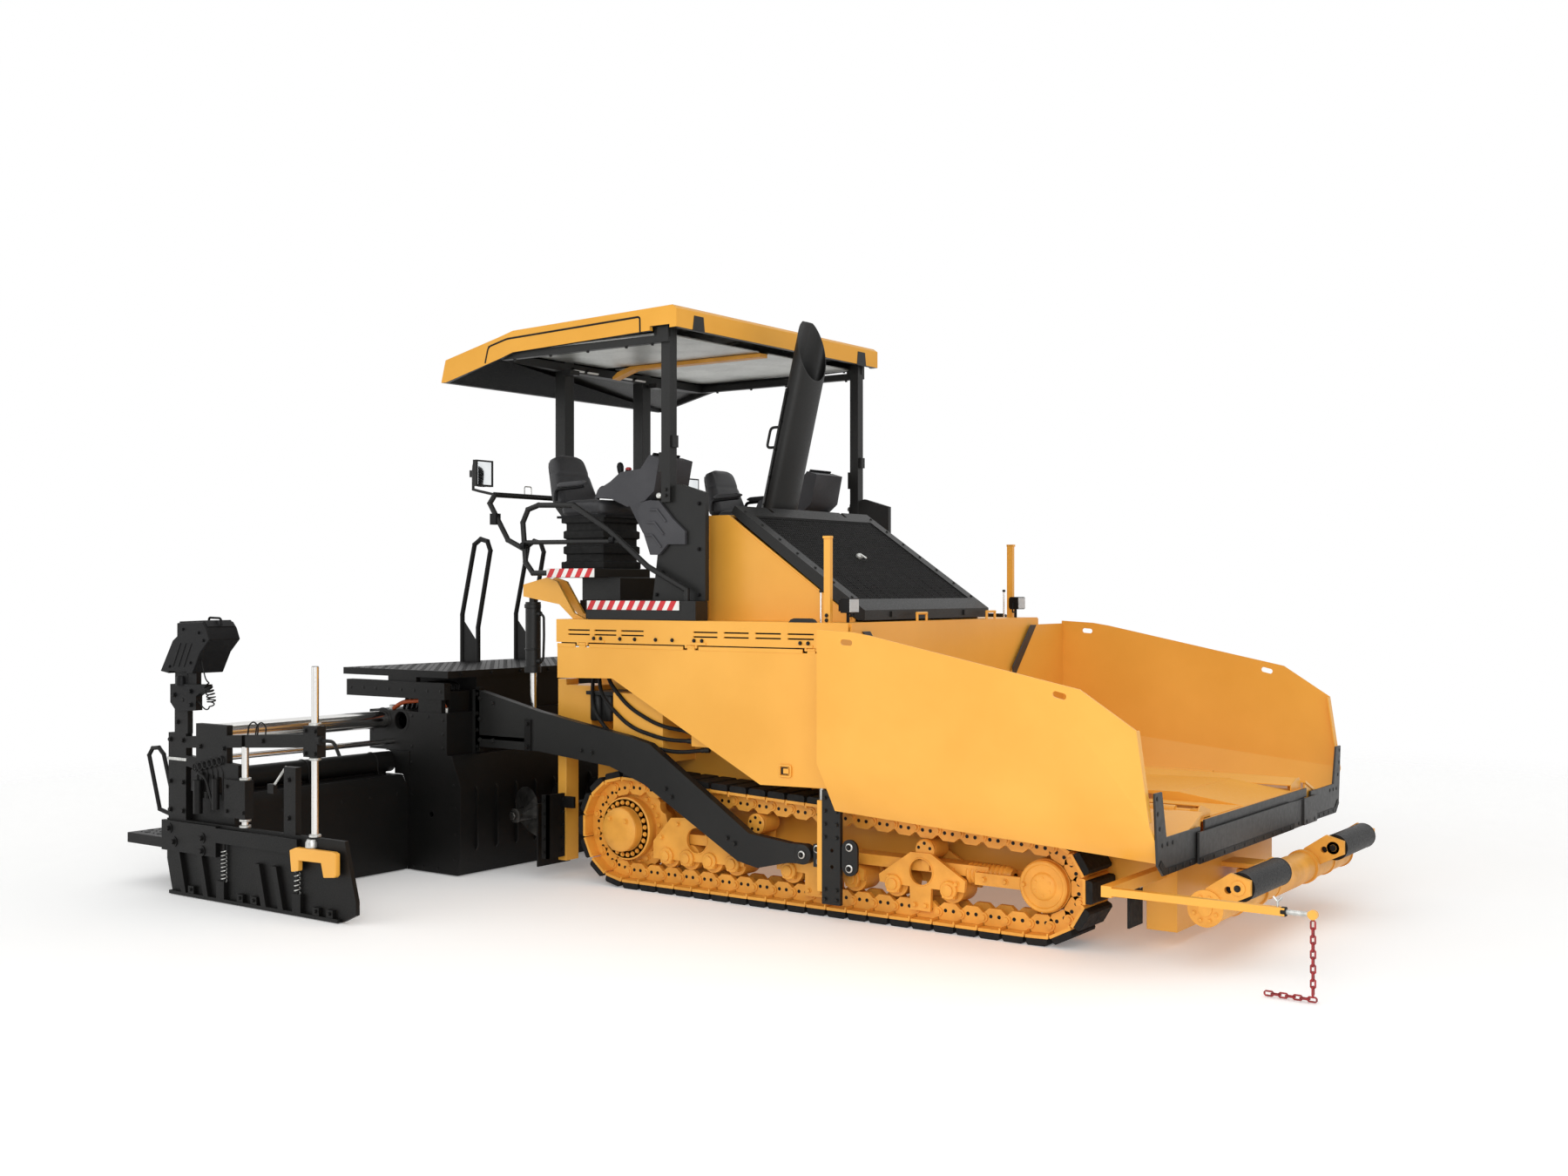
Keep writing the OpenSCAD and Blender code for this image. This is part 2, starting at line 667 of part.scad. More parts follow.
// Grey control consoles with their columns
module consoles() {
    desk = [[-1195, 2668], [-1167, 2726], [-1055, 2776], [-961, 2838], [-781, 2854], [-704, 2945],
        [-613, 2918], [-660, 2700], [-742, 2635], [-898, 2598], [-1060, 2664]];
    stem = [[-880, 2610], [-690, 2640], [-341, 2466], [-341, 2322], [-565, 2255], [-760, 2420]];
    shield = [[-756, 2575], [-679, 2631], [-565, 2628], [-452, 2508], [-341, 2419], [-341, 2333],
        [-490, 2335], [-565, 2266], [-641, 2267], [-717, 2456]];
    inside = -side_plate_y + 40;
    color("gray") both() {
        plate_xz(desk, inside, 360);
        plate_xz(stem, inside, 120);
        plate_xz(shield, -side_plate_y - 24, 24);
    }
}

// Guard rails round the platform, with the mirrors
module guard_rails() {
    r = 19;
    y = -rail_out_y;
    color("black") {
        both() {
            pipe([[-1536, y, board_z + 33], [-1690, y, board_z + 33], [-1763, y, 2230], [-1789, y, 2509],
                [-1738, y, 2600], [-1636, y, 2628], [-1305, y, 2618], [-985, y, 2443],
                [-637, y, 2190], [-301, y, 2030], [-301, y, floor_top]], r);
            pipe([[-1775, y, 2368], [-868, y, 2360]], r - 3);
            pipe([[-2067, -500, 2716], [-2067, y, 2716], [-2119, y, 2655], [-1936, y, 2388],
                [-1775, y, 2320]], r);
            pipe([[-2067, y, 2716], [-2226, y, 2747], [-2289, y, 2762], [-2289, y, 2860]], 10);
            block([-2302, y - 25, 2850], [-2215, y + 25, 2900]);
            block([-2215, y - 75, 2780], [-2180, y + 95, 2970]);
        }
        // Grab rail beside the hood
        grab_y = hood_left + 45;
        bar([-75, grab_y, 2440], [493, grab_y, 2050], 12);
        for (p = [[-60, 2430], [478, 2060]]) rod_y(p[0], p[1], hood_left, grab_y, 9);
    }
}

// Work lamps on the deck
module work_lamps() {
    color("black") both() {
        rod_z(900, -body_half + 155, deck_z, 1900, 10);
        block([880, -body_half + 100, 1890], [945, -body_half + 210, 1980]);
    }
}

// Slotted lifting hole through a wing's side wall
module lift_slot(x, z, fall) {
    half = 24;
    r = 17;
    translate([x, -wing_half - 5, z]) rotate([0, fall, 0]) {
        for (u = [-half, half]) rod_y(u, 0, 0, plate_t + 10, r);
        block([-half, 0, -r], [half, plate_t + 10, r]);
    }
}

// Hopper wing of the right side, on its hinge knuckles
module wing() {
    knee = 1012;
    knee_f = 818;
    low = 711;
    low_f = 590;
    bevel_y = wing_half - 195;
    rear = hopper_back + 22;
    wall = [[rear, knee], [rear, wing_top], [rear + 250, wing_top - 13], [rear + 370, wing_top - 31],
        [2703, wing_top - 294], [wing_front - 70, wing_top - 496], [wing_front - 20, 970],
        [wing_front, knee_f]];
    color("gold") {
        difference() {
            plate_xz(wall, -wing_half, plate_t);
            lift_slot(rear + 208, wing_top - 73, 4);
            lift_slot(2585, wing_top - 329, 13);
        }
        sheet4([[rear, -wing_half, knee], [wing_front - plate_t, -wing_half, knee_f], [rear, -bevel_y, low],
            [wing_front - plate_t, -bevel_y, low_f]], plate_t);
        sheet4([[rear, -bevel_y, low], [wing_front - plate_t, -bevel_y, low_f],
            [rear, -905, wing_hinge_z - 6], [wing_front - plate_t, -905, wing_hinge_z - 6]], plate_t);
        plate_yz([[-wing_half, knee], [-wing_half, wing_top - 20], [-1150, wing_top - 20], [-800, 1440],
            [-800, 850], [-905, wing_hinge_z], [-bevel_y, low]], rear, plate_t);
        for (x = [1200, 1840, 2500]) difference() {
            union() {
                rod_x(-wing_hinge_y, wing_hinge_z, x, x + 420, 28);
                block([x, -915, wing_hinge_z - 6], [x + 420, -wing_hinge_y, wing_hinge_z + 6]);
            }
            rod_x(-wing_hinge_y, wing_hinge_z, x - 5, x + 425, 15.4);
        }
    }
}

module wing_right() {
    wing();
}

module wing_left() {
    mirror([0, 1, 0]) wing();
}

// Rubber flap at the front of a wing
module wing_flap() {
    skirt = [[-1600, 980], [-1500, 980], [-1440, 735], [-960, 735], [-960, 540], [-1484, 537], [-1560, 600]];
    color("black") {
        plate_yz(skirt, wing_front, 14);
        // Seal strip along the slanted edge of the rear wall
        plate_yz([[-1175, 1778], [-1085, 1778], [-806, 1492], [-806, 1384]], hopper_back + 22 + plate_t, 10);
    }
}

module wing_flap_right() {
    wing_flap();
}

module wing_flap_left() {
    mirror([0, 1, 0]) wing_flap();
}

// Side service door, hung from its top edge
module side_door() {
    hang_z = deck_z - 170;
    top = hang_z - 20;
    color("gold") {
        plate_xz([[-1400, top], [-1400, top - 216], [-900, top - 206], [340, 803], [985, 817], [985, top]],
            -body_half, 14);
        for (x = [-1200, -250, 700]) difference() {
            union() {
                rod_x(-body_half + 7, hang_z, x, x + 60, 11);
                block([x, -body_half, hang_z - 30], [x + 60, -body_half + 14, hang_z]);
            }
            rod_x(-body_half + 7, hang_z, x - 5, x + 65, 6.3);
        }
    }
}

module side_door_right() {
    side_door();
}

module side_door_left() {
    mirror([0, 1, 0]) side_door();
}

// Push beam on its middle pivot, with the roller brackets
module push_beam() {
    bracket = [[push_x - 60, push_z + 20], [push_x + 60, push_z], [roller_x + 65, 420], [roller_x + 65, 500],
        [roller_x - 45, 530], [push_x, 440]];
    color("gold") difference() {
        union() {
            rod_y(push_x, push_z, -push_half, push_half, push_tube);
            block([pivot_x - 60, -120, push_z - 44], [push_x, 120, push_z + 44]);
            for (y = [-push_half, -520, 490, push_half - 30]) plate_xz(bracket, y, 30);
            // Collars and end caps
            both() rod_y(push_x, push_z, -push_half - 14, -push_half, push_tube + 8);
            both() rod_y(push_x, push_z, -470, -430, push_tube + 12);
            rod_y(push_x, push_z, -240, 240, push_tube + 4);
        }
        rod_z(pivot_x, 0, push_z - 60, push_z + 60, 35.4);
        for (y = [-push_half - 20, 480]) rod_y(roller_x, 455, y, y + 700, 20.4);
        both() for (y = [-push_half - 5, -525]) rod_y(roller_x - 55, 440, y, y + 40, 20);
    }
}

module push_roller() {
    color("black") {
        rod_y(roller_x, 455, -push_half + 36, -526, push_r);
        rod_y(roller_x, 455, -push_half - 8, -482, 20);
    }
}

module push_roller_right() {
    push_roller();
}

module push_roller_left() {
    mirror([0, 1, 0]) push_roller();
}

// Spreading auger of one side
module auger() {
    shaft_r = 42;
    blade_t = 18;
    color("dimgray") {
        rod_y(auger_x, auger_z, -auger_end, -66, shaft_r);
        rod_y(auger_x, auger_z, -66, -10, 25);
        translate([auger_x, -auger_end + 15, auger_z]) rotate([-90, 0, 0])
            linear_extrude(height = auger_end - 110, twist = 1080, slices = 48, $fn = 4)
                translate([shaft_r - 12, -blade_t / 2]) square([auger_r - shaft_r + 12, blade_t]);
    }
}

module auger_right() {
    auger();
}

module auger_left() {
    mirror([0, 1, 0]) auger();
}

// Curved tow arms from the tow points to the screed
module tow_arms() {
    curve = [[tow_x - 110, tow_z + 62], [235, 483], [-595, 1008], [-785, 1050], [-1080, 1094], [-1605, 1180],
        [-2210, 1310], [case_front, 1310], [case_front, sill_z], [-2230, sill_z], [-2210, 900], [-1605, 900],
        [-941, 836], [-640, 735], [140, 300], [300, 270], [tow_x - 110, tow_z - 62]];
    color("black") both() difference() {
        union() {
            plate_xz(curve, -arm_out, arm_t);
            rod_y(tow_x, tow_z, -arm_out, -arm_y, 62);
            block([tow_x - 112, -arm_out, tow_z - 61], [tow_x, -arm_y, tow_z + 61]);
            // Bracket of the lift cylinder's eye
            block([-1910, -arm_y, 905], [-1790, -lift_y - 60, 955]);
            block([-1910, -lift_y - 60, 905], [-1790, -lift_y + 60, 925]);
            for (y = [-lift_y - 60, -lift_y + 40]) block([-1910, y, 905], [-1790, y + 20, 1070]);
        }
        rod_y(tow_x, tow_z, -arm_out - 5, -arm_y + 5, 30.4);
        rod_y(lift_x, lift_eye_z, -lift_y - 70, -lift_y + 70, 46);
    }
}

// Main screed body with the housings of the guide tubes
module screed_body() {
    box = [[-screed_front, screed_lift], [-screed_front + 30, 160], [-screed_front + 30, 640],
        [-screed_front - 60, sill_z], [-screed_rear, sill_z], [-screed_rear, screed_lift]];
    hollow = [[-screed_front - 50, 60], [-screed_front - 20, 600], [-screed_front - 90, sill_z - 50],
        [-screed_rear + 40, sill_z - 50], [-screed_rear + 40, 60]];
    wall = 20;
    rib = 40;
    end_t = 25;
    inside_y = [[-screed_half + rib, -740], [-700, 700], [740, screed_half - rib]];
    color("black") difference() {
        union() {
            plate_xz(box, -screed_half, 2 * screed_half);
            block([-screed_rear, -screed_half, sill_z], [case_front, screed_half, case_top]);
            block([case_rear, -screed_half, case_low], [-screed_rear, screed_half, case_top]);
        }
        plate_xz(hollow, -screed_half + end_t, 2 * (screed_half - end_t));
        rod_y(-screed_rear + 230, 420, -screed_half - 5, screed_half + 5, 22);
        // Hollows between the bulkheads that carry the guide tubes
        for (y = inside_y) {
            block([-screed_rear, y[0], sill_z + wall], [case_front - wall, y[1], case_top - wall]);
            block([case_rear + wall, y[0], case_low + wall], [-screed_rear, y[1], case_top - wall]);
        }
        for (x = [tube_x_right, tube_x_left])
            rod_y(x, tube_z, -screed_half - 5, screed_half + 5, tube_r + 0.4);
        rod_y(ram_x, ram_z, -screed_half - 5, screed_half + 5, ram_r + 0.4);
    }
}

// Upper walkway with its handrails
module screed_walkway() {
    board_y = screed_half - 20;
    rail_y0 = 305;
    color("black") {
        block([-3400, -board_y, walk_z], [-2270, board_y, walk_z + walk_t]);
        both() block([-3040, -1180, case_top], [-2290, -1150, walk_z]);
        block([-2310, -1150, case_top], [-2290, 1150, walk_z]);
        // Side beams and the plates that hang them
        both() block([-3338, -screed_half, 1245], [-2285, -screed_half + 60, 1365]);
        both() block([-2900, -board_y, 1365], [-2600, -screed_half + 60, walk_z]);
        both() block([-2560, -screed_half + 5, case_top], [-2320, -screed_half + 45, 1245]);
        // Handrails of the way up to the platform, with their gussets
        both() pipe([[-3360, -rail_y0, walk_z + 40], [-3360, -rail_y0, 1832], [-3219, -rail_y0, 2397],
            [-3149, -rail_y0, 2438], [-3075, -rail_y0, 2420], [-3041, -rail_y0, 2345],
            [-3180, -rail_y0, 1729], [-3180, -rail_y0, walk_z + 40]], 19);
        gusset = [[-3360, walk_z + 40], [-3360, 1800], [-3180, 1600], [-3180, walk_z + 40]];
        both() plate_xz(gusset, -rail_y0 - 4, 8);
    }
}

// Extender body behind the main screed
module extender() {
    front = screed_rear + 8;
    box = [[-front - 12, screed_lift], [-front, 120], [-front, 600], [-front - 62, 690],
        [-3180, 690], [-3250, 600], [-3250, screed_lift]];
    hollow = [[-front - 52, 60], [-front - 42, 580], [-front - 82, 640], [-3160, 640],
        [-3210, 580], [-3210, 60]];
    pipe_r = 75;
    pipe_x = -2880;
    pipe_z = 775;
    color("black") {
        difference() {
            plate_xz(box, -gate_y + 20, reach - 20);
            plate_xz(hollow, -gate_y + 60, reach);
        }
        // Heavy tube on saddles over the box
        rod_y(pipe_x, pipe_z, -gate_y + 20, -screed_half - 30, pipe_r);
        for (y = [-gate_y + 60, -gate_y + reach / 2, -screed_half - 140])
            block([pipe_x - 60, y, 690], [pipe_x + 60, y + 40, pipe_z - 30]);
        // Step behind
        block([-rear_end, -gate_y + 60, 270], [-3250, -screed_half - 40, 340]);
    }
}

module extender_right() {
    extender();
}

module extender_left() {
    mirror([0, 1, 0]) extender();
}

// Guide tube and extension cylinder of an extender
module extender_tubes(x) {
    color("silver") {
        rod_y(x, tube_z, -gate_y + gate_t / 2, -screed_half + 500, tube_r);
        rod_y(ram_x, ram_z, -gate_y + gate_t / 2, -screed_half + 20, ram_r);
    }
}

module extender_tubes_right() {
    extender_tubes(tube_x_right);
}

module extender_tubes_left() {
    mirror([0, 1, 0]) extender_tubes(tube_x_left);
}

// End gate with its frame, jack and post
module end_gate() {
    face = -gate_y - gate_t;
    back = -gate_y + gate_t / 2;
    skid = [[-3255, 4], [-1534, 4], [-1406, 60], [-1406, 142], [-1510, 500], [-3320, 500], [-3320, 230]];
    rib_xs = [-3130, -2890, -2290, -2120];
    color("black") difference() {
        union() {
            plate_xz(skid, face, gate_t);
            block([-3255, face - 30, 4], [-1540, face, 26]);
            // Outer bars and slanted ribs
            block([-3338, face - 30, 290], [-2747, face, 490]);
            block([-2747, face - 30, 385], [-1926, face, 480]);
            for (x = rib_xs)
                plate_xz([[x - 60, 290], [x - 10, 290], [x + 60, 26], [x + 10, 26]], face - 30, 30);
            for (x = [-2700, -1930]) block([x - 40, face - 30, 26], [x + 40, face, 140]);
            // Post, arm and brackets of the frame
            block([-3304, face, 500], [-3110, -gate_y + 20, 1076]);
            block([-3236, face, 1076], [-3091, -gate_y + 10, 1400]);
            plate_xz([[-3110, 981], [-3110, 1057], [-1863, 1138], [-1863, 1052]], face, gate_t + 15);
            plate_xz([[-3110, 860], [-3110, 930], [-2551, 900], [-2551, 800], [-2669, 800]],
                face, gate_t + 15);
            block([-3000, face, ram_z - 45], [-2670, back, case_top]);
            block([-1872, face - 22, 997], [-1740, back, 1190]);
            block([-2669, face - 22, 560], [-2452, back, 805]);
            block([-2090, face, 500], [-1975, back, 920]);
            // Grab loop on the post
            pipe([[-3310, -gate_y - 5, 690], [-3395, -gate_y - 5, 920], [-3450, -gate_y - 5, 962],
                [-3520, -gate_y - 5, 955], [-3562, -gate_y - 5, 905], [-3440, -gate_y - 5, 545],
                [-3310, -gate_y - 5, 520]], 14);
        }
        for (x = jack_xs) rod_z(x, -jack_y, 500, 1600, jack_r + 0.4);
    }
}

module end_gate_right() {
    end_gate();
}

module end_gate_left() {
    mirror([0, 1, 0]) end_gate();
}

// Bright jack rods of an end gate
module gate_jacks() {
    color("silver") {
        rod_z(jack_xs[0], -jack_y, 500, 1557, jack_r);
        rod_z(jack_xs[1], -jack_y, 500, 1022, jack_r);
    }
}

module gate_jacks_right() {
    gate_jacks();
}

module gate_jacks_left() {
    mirror([0, 1, 0]) gate_jacks();
}

// Remote control box on its pole
module screed_console() {
    shell = [[-3354, 1486], [-3217, 1694], [-3168, 1724], [-3168, 1812], [-2890, 1822], [-2850, 1780],
        [-2815, 1705], [-2915, 1618], [-3000, 1480], [-3236, 1470]];
    near = -gate_y - gate_t - 30;
    color("gray") {
        block([-3236, -gate_y - gate_t, 1400], [-3091, -gate_y - 5, 1490]);
        difference() {
            plate_xz(shell, near, 240);
            plate_xz([[-3260, 1400], [-3260, 1490], [-3060, 1490], [-3060, 1400]], near - 5, 250);
        }
    }
}

module screed_console_right() {
    screed_console();
}

module screed_console_left() {
    mirror([0, 1, 0]) screed_console();
}

// Barrels of the screed's lift cylinders
module lift_barrels() {
    low = 1440;
    color("black") both() difference() {
        union() {
            rod_z(lift_x, -lift_y, low, 1945, 55);
            rod_z(lift_x, -lift_y, 1940, 2000, 28);
            rod_y(lift_x, lift_top_z, -lift_y - 32, -lift_y + 32, 46);
        }
        rod_y(lift_x, lift_top_z, -lift_y - 40, -lift_y + 40, 20.4);
        rod_z(lift_x, -lift_y, low - 10, 1935, 25.06);
    }
}

// Rods of the lift cylinders, with their lower eyes
module lift_rods() {
    color("silver") both() {
        rod_z(lift_x, -lift_y, lift_eye_z, 1600, 25);
        rod_y(lift_x, lift_eye_z, -lift_y - 32, -lift_y + 32, 40);
        rod_y(lift_x, lift_eye_z, -lift_y - 56, -lift_y + 56, 20);
    }
}

chassis();
deck();
engine_block();
track_right();
track_left();
track_frames();
track_rollers();
sprockets();
hopper_floor();
conveyor_slats();
front_apron();
guide_rod();
guide_chain();
tow_guides();
auger_mount();
engine_housing();
exhaust_stack();
operator_floor();
canopy_posts();
canopy_roof();
canopy_liner();
seat_right();
seat_left();
seat_bases();
consoles();
guard_rails();
work_lamps();
wing_right();
wing_left();
wing_flap_right();
wing_flap_left();
engine_hood();
side_door_right();
side_door_left();
push_beam();
push_roller_right();
push_roller_left();
auger_right();
auger_left();
tow_arms();
screed_body();
screed_walkway();
extender_right();
extender_left();
extender_tubes_right();
extender_tubes_left();
end_gate_right();
end_gate_left();
gate_jacks_right();
gate_jacks_left();
screed_console_right();
screed_console_left();
lift_barrels();
lift_rods();
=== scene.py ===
"""An asphalt paver on rubber-padded tracks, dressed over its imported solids. Lengths are in metres."""
import math

import bmesh
import bpy
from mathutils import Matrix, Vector


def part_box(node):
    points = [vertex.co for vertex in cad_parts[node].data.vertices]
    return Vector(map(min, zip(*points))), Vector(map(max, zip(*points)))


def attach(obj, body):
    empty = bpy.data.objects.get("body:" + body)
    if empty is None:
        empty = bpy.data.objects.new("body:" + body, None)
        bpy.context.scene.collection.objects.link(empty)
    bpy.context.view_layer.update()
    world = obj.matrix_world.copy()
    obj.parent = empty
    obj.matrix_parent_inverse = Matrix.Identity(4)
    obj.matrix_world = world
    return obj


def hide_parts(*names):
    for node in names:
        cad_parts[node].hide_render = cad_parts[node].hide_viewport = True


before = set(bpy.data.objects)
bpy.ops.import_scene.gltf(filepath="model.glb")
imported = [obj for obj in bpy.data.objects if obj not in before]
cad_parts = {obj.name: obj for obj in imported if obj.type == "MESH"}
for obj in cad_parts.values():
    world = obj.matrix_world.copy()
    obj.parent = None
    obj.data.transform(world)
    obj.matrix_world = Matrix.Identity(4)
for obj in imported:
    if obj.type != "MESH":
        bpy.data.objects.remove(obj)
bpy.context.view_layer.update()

# Sizes read from the solids
BODY_HALF = -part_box("side_door_right")[0].y
DECK_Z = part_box("operator_floor")[0].z
ARM_OUT = -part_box("tow_arms")[0].y
GATE_OUT = -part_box("end_gate_right")[0].y
JACK_Y = GATE_OUT - 0.045
WALK_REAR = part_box("screed_walkway")[0].x
SCREED_HALF = -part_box("screed_body")[0].y
ROOF_FRONT, ROOF_HALF, ROOF_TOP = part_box("canopy_roof")[1]

# The running gear: axles, radii over the pads and the chain
SHOES = 54
TRACK_Y = 0.995
SHOE_W = 0.32
SPROCKET_X, SPROCKET_R = -0.92, 0.4
IDLER_X, IDLER_R = 2.225, 0.335
PAD_T, SHOE_T, LINK_H = 0.042, 0.018, 0.105
ROLLERS = [-0.555, -0.38, -0.19, 0.0, 0.448, 0.925, 1.225, 1.61]
ROLLER_Z = 0.2493
CARRIERS = [(0.173, 0.5218), (1.433, 0.4697)]
BOGIE_FACE = TRACK_Y + 0.115

# The rear and front: heavy tube over an extender, jacks of an end gate, lift cylinder, auger and push rollers
TUBE_X, TUBE_Z = -2.88, 0.775
LONG_JACK_X, SHORT_JACK_X = -1.805, -2.497
LIFT_X = -1.849
AUGER_X, AUGER_Z = -1.835, 0.43
PUSH_BEAM_X, PUSH_BEAM_Z = 3.21, 0.33
PUSH_ROLLER_X, PUSH_ROLLER_Z = 3.385, 0.455
FLAP_STUD_Z = 0.559

SIDES = {"right": -1.0, "left": 1.0}


# Small tools for meshes

def along_x(u, v, w):
    return Vector((w, u, v))


def along_y(u, v, w):
    return Vector((u, w, v))


def along_z(u, v, w):
    return Vector((u, v, w))


def skin(bm, rings, bored=False):
    """Closes a row of rings, each with as many points, into one solid; a bored one ends where it began"""
    rows = [[bm.verts.new(p) for p in ring] for ring in rings]
    count = len(rows[0])
    for low, high in zip(rows, rows[1:] + rows[:1] if bored else rows[1:]):
        for i in range(count):
            j = (i + 1) % count
            bm.faces.new((low[i], low[j], high[j], high[i]))
    if not bored:
        bm.faces.new(rows[0][::-1])
        bm.faces.new(rows[-1])


def prism(bm, outline, lo, hi, place=along_y):
    """An outline drawn out from lo to hi"""
    skin(bm, [[place(u, v, w) for u, v in outline] for w in (lo, hi)])


def box(bm, a, b):
    """A block between two corners"""
    (x0, x1), (y0, y1), (z0, z1) = (sorted(pair) for pair in zip(a, b))
    prism(bm, [(x0, z0), (x1, z0), (x1, z1), (x0, z1)], y0, y1)


def lathe(bm, at, axis, profile, sides=24, bored=False):
    """A turned piece: its profile gives each radius and how far along the axis it is"""
    turn = Vector(axis).to_track_quat("Z", "Y").to_matrix()
    angles = [2 * math.pi * k / sides for k in range(sides)]
    skin(bm, [[Vector(at) + turn @ Vector((r * math.cos(a), r * math.sin(a), h)) for a in angles]
              for r, h in profile], bored)


def rod(bm, start, end, radius, sides=16):
    """A round bar between two points"""
    axis = Vector(end) - Vector(start)
    lathe(bm, start, axis, [(radius, 0.0), (radius, axis.length)], sides)


def bent(points, radius, steps=5):
    """Rounds the corners of a row of points"""
    points = [Vector(p) for p in points]
    out = [points[0]]
    for before, at, after in zip(points, points[1:], points[2:]):
        back, on = before - at, after - at
        cut = min(radius, back.length * 0.45, on.length * 0.45)
        a, b = at + back.normalized() * cut, at + on.normalized() * cut
        for k in range(steps + 1):
            t = k / steps
            out.append(a * (1 - t) ** 2 + at * 2 * t * (1 - t) + b * t ** 2)
    return out + [points[-1]]


def tube(bm, points, radius, sides=10):
    """A round tube along a row of points"""
    points = [Vector(p) for p in points]
    steps = [(q - p).normalized() for p, q in zip(points, points[1:])]
    ways = [steps[0]] + [(a + b).normalized() for a, b in zip(steps, steps[1:])] + [steps[-1]]
    side = ways[0].orthogonal().normalized()
    rings = []
    for p, way in zip(points, ways):
        side = (side - way * side.dot(way)).normalized()
        up = way.cross(side)
        rings.append([p + (side * math.cos(a) + up * math.sin(a)) * radius
                      for a in (2 * math.pi * k / sides for k in range(sides))])
    skin(bm, rings)


def bolt(bm, at, axis, across=0.024):
    """A hexagon head on its washer"""
    lathe(bm, at, axis, [(across * 0.78, 0.0), (across * 0.78, across * 0.14)], 14)
    lathe(bm, at, axis, [(across * 0.577, across * 0.1), (across * 0.577, across * 0.55),
                         (across * 0.5, across * 0.66)], 6)


def stud(bm, at, axis, radius=0.013):
    """A low domed screw head, where something slides past"""
    lathe(bm, at, axis, [(radius, 0.0), (radius, 0.001), (radius * 0.6, 0.003)], 14)


def tread_lug(bm, x, y, half, slant, low, high):
    """One slanted lug of a tread plate"""
    u, v = half * math.cos(slant), half * math.sin(slant)
    ring = [(x - u, y - v), (x + v * 0.3, y - u * 0.3), (x + u, y + v), (x - v * 0.3, y + u * 0.3)]
    prism(bm, ring, low, high, along_z)


def bolt_circle(bm, at, side, radius, count, across):
    """Bolts in a ring on a face that looks sideways"""
    for k in range(count):
        a = 2 * math.pi * (k + 0.5) / count
        bolt(bm, (at[0] + radius * math.cos(a), at[1], at[2] + radius * math.sin(a)), (0, side, 0), across)


def make(name, bm, finish, body, edge=0.0):
    """Turns a mesh into a piece that rides on a body"""
    bmesh.ops.recalc_face_normals(bm, faces=bm.faces)
    mesh = bpy.data.meshes.new(name)
    bm.to_mesh(mesh)
    bm.free()
    mesh.materials.append(finish)
    mesh.shade_smooth()
    mesh.set_sharp_from_angle(angle=math.radians(38))
    piece = bpy.data.objects.new(name, mesh)
    bpy.context.scene.collection.objects.link(piece)
    if edge:
        soften(piece, edge)
    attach(piece, body)
    return piece


def soften(piece, width):
    """Rounds the sharp edges of a piece a little, as a pressed or cast edge is"""
    weld = piece.modifiers.new("joined_corners", "WELD")
    weld.merge_threshold = 0.00002
    flat = piece.modifiers.new("whole_faces", "DECIMATE")
    flat.decimate_type = "DISSOLVE"
    flat.angle_limit = math.radians(0.5)
    bevel = piece.modifiers.new("rounded_edges", "BEVEL")
    bevel.width = width
    bevel.segments = 2
    bevel.limit_method = "ANGLE"
    bevel.angle_limit = math.radians(42)
    bevel.use_clamp_overlap = True
    shade = piece.modifiers.new("even_shading", "WEIGHTED_NORMAL")
    shade.keep_sharp = False


# Finishes

def linear(code):
    """An sRGB hex colour as linear light"""
    channels = [int(code[i:i + 2], 16) / 255 for i in (0, 2, 4)]
    return tuple(c / 12.92 if c <= 0.04045 else ((c + 0.055) / 1.055) ** 2.4 for c in channels) + (1.0,)


def add(tree, kind, settings, inputs):
    """Adds a node with its settings, its values and its links"""
    node = tree.nodes.new(kind)
    for key, value in settings.items():
        setattr(node, key, value)
    for key, value in inputs.items():
        if isinstance(value, bpy.types.NodeSocket):
            tree.links.new(value, node.inputs[key])
        else:
            node.inputs[key].default_value = value
    return node


def begin(name):
    """A new finish with its shader and the place on the object"""
    material = bpy.data.materials.new(name)
    material.use_nodes = True
    tree = material.node_tree
    place = add(tree, "ShaderNodeTexCoord", {}, {}).outputs["Object"]
    return material, tree, tree.nodes["Principled BSDF"], place


def mottled(name, light, dark, patch_mm, grain_mm, rough, bump_mm, strength, constants=None):
    """A finish whose tone wanders in patches, with a fine grain in its gloss and relief"""
    material, tree, shader, place = begin(name)
    patch = add(tree, "ShaderNodeTexNoise", {}, {"Vector": place, "Scale": 1000 / patch_mm, "Detail": 5.0})
    grain = add(tree, "ShaderNodeTexNoise", {}, {"Vector": place, "Scale": 1000 / grain_mm, "Detail": 3.0})
    spread = add(tree, "ShaderNodeMapRange", {}, {0: patch.outputs[0], 1: 0.36, 2: 0.64})
    tone = add(tree, "ShaderNodeMix", {"data_type": "RGBA"},
               {0: spread.outputs[0], 6: linear(light), 7: linear(dark)})
    gloss = add(tree, "ShaderNodeMapRange", {},
                {0: grain.outputs[0], 1: 0.3, 2: 0.7, 3: rough[0], 4: rough[1]})
    relief = add(tree, "ShaderNodeBump", {},
                 {"Strength": strength, "Distance": bump_mm / 1000, "Height": grain.outputs[0]})
    tree.links.new(tone.outputs[2], shader.inputs["Base Color"])
    tree.links.new(gloss.outputs[0], shader.inputs["Roughness"])
    tree.links.new(relief.outputs[0], shader.inputs["Normal"])
    for socket, value in (constants or {}).items():
        shader.inputs[socket].default_value = value
    return material


def yellow_enamel():
    # Baked enamel sprayed on sheet steel: even and warm, with a faint orange peel under a soft gloss.
    # The peel is about 2 mm in life, and is drawn at 16 mm so that it shows.
    return mottled("yellow_enamel_baked", "F2B148", "EAA83F", 700, 16, (0.36, 0.46), 1.0, 0.12,
                   {"Coat Weight": 0.12, "Coat Roughness": 0.2, "IOR": 1.45})


